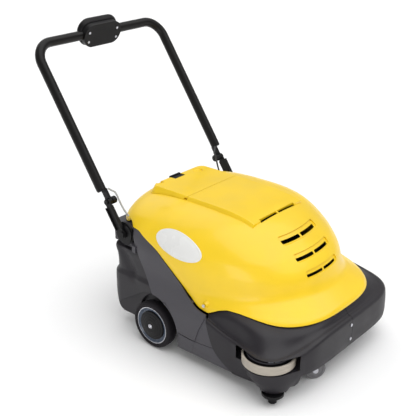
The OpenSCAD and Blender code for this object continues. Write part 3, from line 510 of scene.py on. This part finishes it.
def pocket(x0, x1, z0, z1, r, depth_from, depth_to):
    """A slot tool with rounded ends, seen from the front, from y=depth_from to y=depth_to."""
    a = np.linspace(0, math.pi / 2, 7)
    pts = []
    for cx, cz, start in ((x1 - r, z1 - r, 0), (x0 + r, z1 - r, 1), (x0 + r, z0 + r, 2), (x1 - r, z0 + r, 3)):
        quarter = start * math.pi / 2
        pts += [(cx + r * math.cos(t + quarter), cz + r * math.sin(t + quarter)) for t in a]
    pts = np.array(pts)
    rings = [np.column_stack([pts[:, 0], np.full(len(pts), y), pts[:, 1]]) for y in (depth_to, depth_from)]
    obj = loft("pocket", rings)
    weld(obj)
    return obj


SLOT_ROWS = [(448, 96), (400, 92), (350, 84)]


def build_hood():
    hood = upper_form()
    boolean(hood, [above_seam()], "INTERSECT")
    boolean(hood, [under_skirt()])
    front = panel_form()
    boolean(front, [block(-220, 220, LID_FRONT - 2, 320, 300, 640)])
    boolean(hood, [front], "UNION")
    boolean(hood, [upper_form(4, 4)])
    tools = [block(-132, 132, -4, 148, 430, 640)]
    for z, half in SLOT_ROWS:
        dish = pocket(-half - 4, half + 12, z - 8, z + 15, 9, -700, -150)
        boolean(dish, [upper_form(3.3, 2.5)])
        tools.append(dish)
        for side in (-1, 1):
            x0, x1 = (4, half) if side > 0 else (-half, -4)
            tools.append(pocket(x0, x1, z - 7, z + 2.5, 3, -700, -150))
    for side in (-1, 1):
        x0, x1 = (4, 100) if side > 0 else (-100, -4)
        tools.append(block(x0, x1, PANEL_FRONT - 5, PANEL_FRONT + 7, 430, 640))
        tools.append(turned("well", [(276 * side, 0), (400 * side, 0), (400 * side, 49), (276 * side, 49)],
                            (0, *PIVOT_AT), "x", 96))
        tools.append(bar(min(313 * side, 363 * side), max(313 * side, 363 * side), -275, 252, 3.05, 24))
    for side in (-1, 1):
        cone = [(312, 0), (312, 26), (328, 13), (339, 8.5), (339, 0)]
        seat = turned("seat", [(x * side, r) for x, r in cone],
                      (0, -275, 252), "x", 48)
        boolean(hood, [seat], "UNION")
    boolean(hood, tools)
    return finish(hood, YELLOW, "chassis", "hood", 30)


build_hood()

# ---------------------------------------------------------------- lid
def build_lid():
    lid = panel_form()
    tools = [block(-220, 220, -500, LID_FRONT, 300, 640), upper_form(-0.5, -0.5),
             block(-220, 220, -100, LID_FRONT + 14, 300, 518.5)]
    boolean(lid, tools)
    tools = [block(x0, x1, -60, LID_FRONT + 13, 300, 523) for x0, x1 in ((-111.5, -98.5), (98.5, 111.5))]
    tools += [bar(86, 121, -18, 522.2, 2.55, 24), bar(-121, -86, -18, 522.2, 2.55, 24),
              block(-126, 126, 4, 106, 500, 520),
              block(-41, 17, 132, 169, 520, 640), block(-41, 17, 130, 140, 518.4, 640),
              bar(-46, 22, 135, 522.5, 1.55, 24)]
    dimple = turned("dimple", [(0, 0), (0, 15), (2, 18), (9, 20), (9, 0)], (84, 124, 521.5), "z", 64)
    notch = pocket_top(-118, -92, 140, 172, 519, 5)
    boolean(lid, tools + [dimple, notch])
    return finish(lid, YELLOW, "lid_cover", "lid", 30)


def pocket_top(x0, x1, y0, y1, z, r):
    """A pocket tool seen from above, with rounded corners."""
    a = np.linspace(0, math.pi / 2, 7)
    pts = []
    for cx, cy, k in ((x1 - r, y1 - r, 0), (x0 + r, y1 - r, 1), (x0 + r, y0 + r, 2), (x1 - r, y0 + r, 3)):
        pts += [(cx + r * math.cos(t + k * math.pi / 2), cy + r * math.sin(t + k * math.pi / 2)) for t in a]
    pts = np.array(pts)
    return loft("pocket", [np.column_stack([pts, np.full(len(pts), h)]) for h in (z, 640)])


# ---------------------------------------------------------------- badges
def hood_side_x(y, z, grow):
    """Half width of the hood at a point of its flank."""
    s = pchip(UPPER[:, 0], UPPER[:, 1:], np.atleast_1d(z))
    long = np.where(y < WAIST_Y, s[:, 1], s[:, 2]) + grow
    n = np.where(y < WAIST_Y, s[:, 3], s[:, 4])
    return (s[:, 0] + grow) * (1 - np.minimum(np.abs(y - WAIST_Y) / long, 1) ** n) ** (1 / n)


def build_badges():
    a = np.linspace(0, 2 * math.pi, 120, endpoint=False)
    half_l, half_h = 105.0, 39.0
    turn = math.radians(8.0)
    oval = np.column_stack([half_l * np.cos(a), half_h * np.sin(a)])
    oval = oval @ np.array([[math.cos(turn), math.sin(turn)], [-math.sin(turn), math.cos(turn)]])
    levels = [(1.0, 0.3), (1.0, 1.2), (0.985, 1.8), (0.965, 2.0), (0.93, 2.0), (0.92, 1.6), (0.91, 1.6),
              (0.90, 1.9), (0.7, 1.9), (0.4, 1.9), (0.1, 1.9)]
    pts, faces = [], []
    for side in (-1, 1):
        base = len(pts)
        n = len(a)
        for scale_, grow in levels + [(0.1, 0.3)]:
            y, z = -133 + oval[:, 0] * scale_, 425 + oval[:, 1] * scale_
            x = hood_side_x(y, z, grow)
            pts += [tuple(q) for q in np.column_stack([side * x, y, z])]
        m = len(levels) + 1
        for k in range(m):
            q = (k + 1) % m
            for i in range(n):
                j = (i + 1) % n
                f = (base + k * n + i, base + k * n + j, base + q * n + j, base + q * n + i)
                if k == m - 2:
                    continue
                if k == m - 1:
                    f = (base + k * n + i, base + k * n + j, base + j, base + i)
                faces.append(f if side < 0 else f[::-1])
        faces.append(tuple(base + (m - 2) * n + i for i in range(n)) if side > 0 else
                     tuple(base + (m - 2) * n + i for i in range(n))[::-1])
        faces.append(tuple(base + (m - 1) * n + i for i in range(n)) if side < 0 else
                     tuple(base + (m - 1) * n + i for i in range(n))[::-1])
    obj = new_object("badge_plates", pts, faces)
    weld(obj)
    return finish(obj, WHITE, "chassis", "badges", 40)


# ---------------------------------------------------------------- front moulding
FRONT = np.array([
    [44, 358, 540, 5.5, -322, -562, 48], [62, 360, 552, 5.5, -318, -555, 58],
    [88, 362, 560, 5.5, -312, -542, 74], [118, 362, 563, 5.5, -305, -530, 87],
    [145, 362, 563, 5.5, -305, -530, 88]])
RIDGE = np.array([
    [-12, 361, 562, 5.4, -305, -530, 88], [-4, 359, 559, 5.3, -305, -530, 86],
    [1, 354, 552, 5.1, -305, -530, 80], [3.5, 346, 542, 4.8, -302, -527, 72]])
RIGHT_RIDGE = np.array([(-10, 202), (0, 202), (14, 202), (21, 194), (26, 180), (31, 173), (36, 171),
                        (43, 171),
                        (48, 176), (53, 188), (58, 203), (63, 214), (70, 220), (80, 222), (180, 222)], float)
HUMP = np.array([(-10, 0), (16, 0), (26, 0.5), (34, 1), (48, 1), (56, 0.6), (64, 0), (180, 0)], float)
LEFT_RIDGE = np.array([(-10, 202), (0, 202), (38, 202), (46, 208), (54, 216), (62, 222), (180, 222)], float)
FINE_AROUND = np.linspace(0, 2 * math.pi, 720, endpoint=False)


def corner_reach(angle, cx, cy, r):
    dx, dy = np.sin(angle), -np.cos(angle)
    ox, oy = cx, cy - WAIST_Y
    along = ox * dx + oy * dy
    q = r * r - ox * ox - oy * oy + along * along
    return np.where(q > 0, along + np.sqrt(np.maximum(q, 0)), along - 2 * np.sqrt(np.maximum(-q, 0)))


def front_reach(angle, s, inset):
    base = reach_at(angle, (s[0], s[1], 200.0, s[2], 5.0), inset)
    corner = corner_reach(angle, s[3], s[4], s[5]) - inset
    bulged = (base + corner + np.sqrt((base - corner) ** 2 + 26.0 ** 2)) / 2
    return np.where(np.cos(angle) > 0, bulged, base)


def ridge_height(angle):
    return by_heading(angle, RIGHT_RIDGE, LEFT_RIDGE)


def softened(values, spread):
    """Rolling average round the closed outline."""
    k = np.arange(-3 * spread, 3 * spread + 1)
    weight = np.exp(-0.5 * (k / spread) ** 2)
    return sum(w * np.roll(values, j) for w, j in zip(weight, k)) / weight.sum()


def front_form(inset=0.0, room=False):
    ang = FINE_AROUND
    ridge = ridge_height(ang)
    reach, high, at = [], [], []
    for s in FRONT:
        reach.append(front_reach(ang, s[1:], inset))
        high.append(np.full(len(ang), s[0] - (5.0 if room and s[0] < 50 else 0)))
        at.append(s[0])
    for s in RIDGE:
        reach.append(softened(front_reach(ang, s[1:], inset), 4))
        high.append(ridge + s[0] - inset)
        at.append(190 + s[0])
    brow = softened(reach[-1], 12)
    edge = skirt_height(ang)
    table = pchip(UPPER[:, 0], UPPER[:, 1:], np.clip(edge, 200, 300))
    hood = ((np.abs(np.sin(ang)) / table[:, 0]) ** 3 + (np.abs(np.cos(ang)) / table[:, 1]) ** 3) ** (-1 / 3)
    skirt = np.where(np.cos(ang) > 0, hood - 12, reach_at(ang, (329.0, 522.0, 200.0, 3.0, 5.0))) - inset
    heading = heading_of(ang)
    hump = np.where(heading > 0, pchip(HUMP[:, 0], HUMP[:, 1], np.abs(heading)), 0)
    rim_z = ridge + 3.5 - inset
    reach.append(brow * 0.5 + skirt * 0.5)
    high.append(rim_z + (edge - 1.0 - inset - rim_z) * (0.5 + 0.24 * hump))
    at.append(212)
    reach.append(skirt)
    high.append(edge - 1.0 - inset)
    at.append(232)
    if room:
        reach.append(skirt - 12)
        high.append(edge + 6.0)
        at.append(245)
    at = np.array(at, float)
    q = np.unique(np.concatenate([np.linspace(a, b, 7) for a, b in zip(at[:-1], at[1:])]))
    r, z = pchip(at, np.array(reach), q), pchip(at, np.array(high), q)
    return loft("front", [ring_points(ang, rr, zz) for rr, zz in zip(r, z)])


SIDE_CUT = np.array([(222, -293), (160, -312), (111, -333), (74, -372), (40, -423)], float)


def front_side_cut(shift):
    z = np.linspace(40, 222, 26)
    y = pchip(SIDE_CUT[::-1, 0], SIDE_CUT[::-1, 1], z) + shift
    return prism("cut", np.vstack([[(-293 + shift, 300)], np.column_stack([y, z])[::-1],
                                   [(-760, 40), (-760, 300)]]), -HALF_SPAN, HALF_SPAN)


def build_bumper():
    form = front_form()
    boolean(form, [front_side_cut(0)], "INTERSECT")
    tools = [front_form(4.0, True),
             turned("mouth", [(119.5, 0), (171.3, 0), (171.3, 112), (119.5, 112)], (*ROLLER_AT, 0), "z", 160),
             turned("notch", [(0, 0), (50, 0), (50, 40), (0, 40)], (*SIDE_BRUSH_AT, 0), "z", 96),
             block(-272, 440, -760, -500, 0, 92)]
    for z in (121, 176):
        tools.append(turned("hole", [(-680, 0), (-620, 0), (-620, 3.05), (-680, 3.05)], (-9, 0, z), "y", 24))
    boolean(form, tools)
    for side, name in ((-1, "bumper_right"), (1, "bumper_left")):
        half = form.copy()
        half.data = form.data.copy()
        half.name = name + "_shell"
        scene.collection.objects.link(half)
        boolean(half, [block(-0.9, 460, -800, 0, 0, 640) if side < 0 else block(-460, 0.9, -800, 0, 0, 640)])
        finish(half, BUMPER, "chassis", name, 26)
    bpy.data.objects.remove(form)


# ---------------------------------------------------------------- base
BASE = np.array([
    [44, 356, 548, 300, 5.5, 5], [78, 362, 560, 300, 5.5, 5], [130, 362, 563, 300, 5.5, 5],
    [190, 360, 558, 300, 5.2, 5], [210, 357, 548, 300, 4.6, 5], [230, 353, 532, 300, 4.2, 5],
    [300, 340, 450, 300, 2.3, 4.5], [360, 338, 430, 300, 2.25, 4], [430, 319, 356, 300, 2.25, 4]])


def base_form(inset=0.0, low=44.0):
    z = np.concatenate([[low], np.linspace(44 + 1e-3, 430, 56)])
    table = pchip(BASE[:, 0], BASE[:, 1:], np.maximum(z, 44))
    return loft("base", [ring_points(AROUND, reach_at(AROUND, s, inset), h) for s, h in zip(table, z)])


def hopper_view(grow):
    return prism("view", [(93 - grow, 400), (-57 - grow, 190), (-57 - grow, 40), (330, 40), (330, 440),
                          (93 - grow, 440)], -HALF_SPAN, HALF_SPAN)


def both(make):
    return [make(-1), make(1)]


def sided(side, x0, x1):
    return (x0, x1) if side > 0 else (-x1, -x0)


def build_base():
    walls = base_form()
    recess = prism("recess", [(-293, 300), (-293, 222), (-262, 150), (-227, 42), (-480, 42), (-480, 300)],
                   -HALF_SPAN, HALF_SPAN)
    boolean(recess, [base_form(3.0, 30.0)])
    gap_line = np.array([(-118, 122), (-150, 113), (-190, 108), (-240, 106), (-300, 110), (-345, 116)], float)
    groove_y = np.linspace(-345, -118, 24)
    groove_z = pchip(gap_line[::-1, 0], gap_line[::-1, 1], groove_y)
    groove = prism("groove", np.vstack([np.column_stack([groove_y, groove_z + 2.2]),
                                        np.column_stack([groove_y, groove_z - 3.0])[::-1]]),
                   -HALF_SPAN, HALF_SPAN)
    boolean(groove, [base_form(3.9, 30.0)])
    lower = prism("lower", np.vstack([np.column_stack([groove_y, groove_z]), [(-118, 20), (-345, 20)]]),
                  -HALF_SPAN, HALF_SPAN)
    boolean(lower, [base_form(2.0, 10.0)])
    boolean(walls, [base_form(4.0, 20.0), recess, groove, lower, front_side_cut(1),
                    block(-HALF_SPAN, HALF_SPAN, -800, -480, 0, 640)])
    inner = base_form(3.5)
    slabs = [block(-297, 297, -326, -322, 44.5, 247), block(-400, 400, -420, -64, 246, 250)]
    boolean(slabs[0], [slabs[1]], "UNION")
    boolean(inner, [slabs[0]], "INTERSECT")
    boolean(inner, [block(264, 298, -330, -318, 100, 206)])
    boolean(walls, [inner], "UNION")
    boolean(walls, [below_seam(1)], "INTERSECT")
    wells = both(lambda s: bar(*sided(s, 311, 420), *AXLE_AT, 126, 128))
    boolean(walls, [hopper_view(2)] + wells)
    boolean(walls, both(lambda s: bar(*sided(s, 308, 420), *PIVOT_AT, 49, 96)))
    floor_pan = front_form(4.3)
    boxes = block(-400, 400, -700, -325, 106, 110)
    boolean(boxes, [block(-70, 70, -700, -648, 107, 205)], "UNION")
    boolean(floor_pan, [boxes], "INTERSECT")
    stem = [(0, 0), (300, 0), (300, 12), (0, 12)]
    cuts = both(lambda s: turned("stem", stem, (CASTER_X * s, CASTER_Y, 0), "z", 48))
    cuts.append(turned("stem", [(0, 0), (300, 0), (300, 11), (0, 11)], (*SIDE_BRUSH_AT, 0), "z", 48))
    boolean(floor_pan, cuts)
    boolean(walls, [floor_pan], "UNION")
    for s in (-1, 1):
        lip = bar(*sided(s, 336, 361), *AXLE_AT, 131, 160)
        boolean(lip, [bar(*sided(s, 335, 362), *AXLE_AT, 127, 160),
                      block(-HALF_SPAN, HALF_SPAN, -300, 300, -100, 76),
                      block(-HALF_SPAN, HALF_SPAN, -100, 300, 0, 640)])
        boolean(walls, [lip], "UNION")
    yoke = block(-306, 306, 62, 150, 338, 418)
    boolean(yoke, [bar(-306, 306, *PIVOT_AT, 30, 96)], "UNION")
    boolean(yoke, [block(-291, 291, 61, 212, 337, 417.4)], "UNION")
    for s in (-1, 1):
        plan = [(336, 60), (335, 76), (322, 92), (310, 99), (305, 99), (305, 60)]
        outline = plan if s > 0 else plan[::-1]
        cheek = loft("cheek", [[(s * x, y, z) for x, y in outline] for z in (340, 366)])
        boolean(yoke, [cheek], "UNION")
    boolean(yoke, [block(-285, 285, 68, 206, 334, 413), block(-122, 122, 74, 146, 400, 420),
                   bar(-400, 400, *PIVOT_AT, 8.05, 48)])
    boolean(walls, [yoke], "UNION")
    return finish(walls, GREY, "chassis", "chassis_tub", 30)


# ---------------------------------------------------------------- hopper
def hopper_ring(z, inset=0.0):
    w, rear, r = hopper_at(z)
    w, rear, r = w - inset, rear - inset, max(r - inset, 8)
    a = np.linspace(0, math.pi / 2, 18)
    side = [(w, y) for y in np.linspace(-80, rear - r, 40)]
    side += [(w - r + r * math.cos(t), rear - r + r * math.sin(t)) for t in a[1:]]
    side += [(x, rear) for x in np.linspace(w - r, 6, 12)[1:]]
    side = np.array(side)
    # hollow that runs down the flank of the upper part
    centre = 150 - (334 - z) * 0.62
    depth = 9.0 * np.clip((z - 205) / 40, 0, 1) * np.clip((336 - z) / 20, 0.35, 1)
    dent = depth * np.exp(-((side[:, 1] - centre) / 20.0) ** 2) * (side[:, 0] > w - 12)
    side[:, 0] -= dent
    ring = np.vstack([side, (side * [-1, 1])[::-1]])
    return np.column_stack([ring, np.full(len(ring), z)])


HOPPER_TABLE = np.array([
    (58, 314, 178, 40), (64, 322, 186, 46), (76, 328, 193, 50), (100, 331, 199, 52), (150, 332, 204, 54),
    (205, 332, 205, 56), (226, 331, 204, 56), (236, 326, 199, 54), (246, 322, 195.5, 52),
    (270, 321, 195.5, 50),
    (300, 321, 198, 48), (318, 322, 203, 46), (330, 321, 204, 44), (334, 319, 202, 42)], float)


def hopper_at(z):
    return pchip(HOPPER_TABLE[:, 0], HOPPER_TABLE[:, 1:], np.atleast_1d(z))[0]


def hopper_form(inset):
    zs = np.concatenate([np.linspace(58 + inset, 84, 8), np.linspace(92, 216, 12), np.linspace(222, 256, 14),
                         np.linspace(264, 334 - inset, 12)])
    body = loft("hopper", [hopper_ring(z, inset) for z in zs])
    profile = [(-52 + inset, 40), (-52 + inset, 193), (47 + inset, 336), (240, 336), (240, 40)]
    view = prism("view", profile, -HALF_SPAN, HALF_SPAN)
    boolean(body, [view], "INTERSECT")
    boolean(body, both(lambda s: bar(*sided(s, 300 - inset, 420), *AXLE_AT, 106 + inset, 160)))
    if not inset:
        low = [(-60, 40), (-60, 196), (-2, 200), (24, 194), (204, 78), (240, 70), (240, 40)]
        boolean(body, both(lambda s: prism("low", low, *sided(s, 317, 420))))
    else:
        low = [(-60, 30), (-60, 202), (2, 206), (30, 199), (210, 84), (250, 74), (250, 30)]
        boolean(body, both(lambda s: prism("low", low, *sided(s, 313, 420))))
    return body


def build_hopper():
    body = hopper_form(0)
    boolean(body, [hopper_form(4)])
    boolean(body, [block(-250, 250, -70, -40, 74, 190), block(-110, 110, 84, 136, 314, 336),
                   pocket(-110, 110, 250, 290, 12, 168, 240)])
    cup = block(-114, 114, 171, 202, 246, 294)
    boolean(cup, [pocket(-110, 110, 250, 290, 12, 175, 240)])
    boolean(body, [cup], "UNION")
    for s in (-1, 1):
        for x in (165.7, 206.3):
            lug = block(*sided(s, x, x + 4), 199, 218, 316, 327)
            boolean(lug, [bar(*sided(s, 160, 216), 213, 322, 2.05, 24)])
            boolean(body, [lug], "UNION")
    return finish(body, HOPPER, "hopper_drawer", "hopper", 30)


# ---------------------------------------------------------------- cables
def cable(name, points, side, mat, node):
    pts = np.array(points, float) * [side, 1, 1]
    t = np.r_[0, np.cumsum(np.linalg.norm(np.diff(pts, axis=0), axis=1))]
    q = np.linspace(0, t[-1], 40)
    path = pchip(t, pts, q)
    tangent = np.gradient(path, axis=0)
    tangent /= np.linalg.norm(tangent, axis=1)[:, None]
    u = np.cross(tangent, [1.0, 0, 0])
    u /= np.linalg.norm(u, axis=1)[:, None]
    v = np.cross(tangent, u)
    k = np.linspace(0, 2 * math.pi, 20, endpoint=False)
    rings = [p + 3.45 * (np.cos(k)[:, None] * uu + np.sin(k)[:, None] * vv) for p, uu, vv in zip(path, u, v)]
    obj = loft(name, rings)
    weld(obj)
    finish(obj, mat, None, node, 50)
    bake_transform(obj)
    return obj


CABLE_LOWER = [[281, 200, 510], [279, 192, 492], [276, 184, 474], [272, 172, 454], [266, 160, 438],
               [262, 155, 432]]
CABLE_UPPER = [[305, 224, 543], [294, 216, 534], [283, 209, 524], [281, 200, 510.2]]


def build_cables():
    # the right cable is coloured with a painted highlight, the left one with the cable's own dark colour
    for side, tag, mat, slot in ((-1, "right", CABLE_PAINTED_HIGHLIGHT, "cable_light"), (1, "left", CABLE_DARK, "cable_dark")):
        cable("lead_" + tag, CABLE_LOWER, side, mat, "cable_" + tag)
        cable("lead_end_" + tag, CABLE_UPPER[::-1], side, mat, "cable_" + tag + "_end")


HANDLE_LENGTH = 768
HANDLE_LEAN = math.radians(55.8)
POD_TURN = math.radians(-75.0)
TUBE_BORE_R = 18.55
BAR = (PIVOT_AT[0] + HANDLE_LENGTH * math.cos(HANDLE_LEAN),
       PIVOT_AT[1] + HANDLE_LENGTH * math.sin(HANDLE_LEAN))


def pod_at(x, v, w):
    """Point of the pod (v down its face, w out of the dome) in machine coordinates."""
    c, s = math.cos(POD_TURN), math.sin(POD_TURN)
    return (x, BAR[0] + v * c - w * s, BAR[1] + v * s + w * c)


def pod_form(levels):
    rings = []
    for w, r, rise in levels:
        ring = []
        for a in np.linspace(0, 2 * math.pi, 96, endpoint=False):
            side = 50.0 if math.cos(a) > 0 else -50.0
            ring.append(pod_at(side + r * math.cos(a), r * math.sin(a) - rise, w))
        rings.append(ring)
    return loft("pod_shell", rings)


def build_pod():
    table = np.array([(0, 48, 0), (4, 50.5, 1.5), (12, 51.5, 6), (20, 49, 9), (28, 42, 10), (34, 32, 9),
                      (38.5, 20, 6), (40.6, 11, 3)], float)
    w = np.linspace(0, 40.6, 26)
    shape = pchip(table[:, 0], table[:, 1:], w)
    dome = pod_form([(a, r, rise) for a, (r, rise) in zip(w, shape)] + [(41, 3, 1)])
    hollow = pod_form([(-1, 45, 0)] + [(a * 0.9, max(r - 3, 1), rise) for a, (r, rise) in zip(w, shape)])
    corners = [pod_at(x, v, w) for w in (10, 60) for x, v in ((-18, -9.8), (18, -9.8), (18, 9.8), (-18, 9.8))]
    well = new_object("well", corners, [(0, 3, 2, 1), (4, 5, 6, 7), (0, 1, 5, 4), (1, 2, 6, 5), (2, 3, 7, 6),
                                        (3, 0, 4, 7)])
    weld(well)
    boolean(dome, [hollow, bar(-200, 200, *BAR, TUBE_BORE_R, 48), well])
    return finish(dome, POD, "handle_upper", "pod_top", 30)


def build_caps():
    steps = [(358, 9.5), (358, 56), (363.5, 56), (365, 54.5), (366, 50), (366.2, 47), (367.6, 46), (369, 40),
             (369.2, 37), (370.4, 36), (371.6, 30), (371.8, 27), (372.8, 26), (373.2, 20), (373.4, 13),
             (372.4, 9.5)]
    for side, tag in ((-1, "right"), (1, "left")):
        cap = turned("cap_" + tag, [(side * x, r) for x, r in steps], (0, *AXLE_AT), "x", 128)
        finish(cap, BLACK, "wheel_" + tag, "wheel_" + tag + "_cap", 24)


build_lid()
build_caps()
build_pod()
build_badges()
build_bumper()
build_base()
build_hopper()
build_cables()

# ---------------------------------------------------------------- stage, camera, light
def place(point):
    return Vector(row(point))


camera = bpy.data.objects.new("camera", bpy.data.cameras.new("camera"))
scene.collection.objects.link(camera)
camera.location = place((-2201, -1891, 1700))
camera.rotation_euler = (place((0, 0, 426.6)) - camera.location).to_track_quat("-Z", "Y").to_euler()
camera.data.sensor_width = 36.0
camera.data.lens = 826.503 / 416 * 36
scene.camera = camera

floor_mat = material("floor_paint", linear(247, 247, 247), rough=0.85, spread=0.006, bump=0.02, edge=0.1,
                     blotch=1.5, grain=60, specular=0.2)
bpy.ops.mesh.primitive_plane_add(size=40, location=(0, 0, 0))
floor = bpy.context.object
floor.name = "floor"
floor.data.materials.append(floor_mat)


def area(name, location, size, power, target=(0, 0, 300)):
    data = bpy.data.lights.new(name, "AREA")
    data.shape, data.size, data.energy = "SQUARE", size, power
    lamp = bpy.data.objects.new(name, data)
    scene.collection.objects.link(lamp)
    lamp.location = place(location)
    lamp.rotation_euler = (place(target) - lamp.location).to_track_quat("-Z", "Y").to_euler()


def sun(name, direction, power, spread):
    data = bpy.data.lights.new(name, "SUN")
    data.energy, data.angle = power, math.radians(spread)
    lamp = bpy.data.objects.new(name, data)
    scene.collection.objects.link(lamp)
    lamp.rotation_euler = Vector(direction).to_track_quat("Z", "Y").to_euler()


# the key comes from high above, a little ahead and to the left; the second sun from behind; the
# strip from ahead on the right, the side that is seen
sun("key", (0.30, -0.50, 1.6), 2.1, 75)
sun("back", (0.4, 1.0, 0.9), 0.45, 50)
area("strip", (-2600, -1500, 900), 1.2, 14)
world = bpy.data.worlds.new("studio")
world.use_nodes = True
wn = world.node_tree.nodes
wn["Background"].inputs["Color"].default_value = (1, 1, 1, 1)
rays = wn.new("ShaderNodeLightPath")
level = wn.new("ShaderNodeMapRange")
level.inputs["To Min"].default_value = 0.46
level.inputs["To Max"].default_value = 1.0
world.node_tree.links.new(rays.outputs["Is Camera Ray"], level.inputs["Value"])
world.node_tree.links.new(level.outputs["Result"], wn["Background"].inputs["Strength"])
scene.world = world
scene.view_settings.view_transform = "Standard"
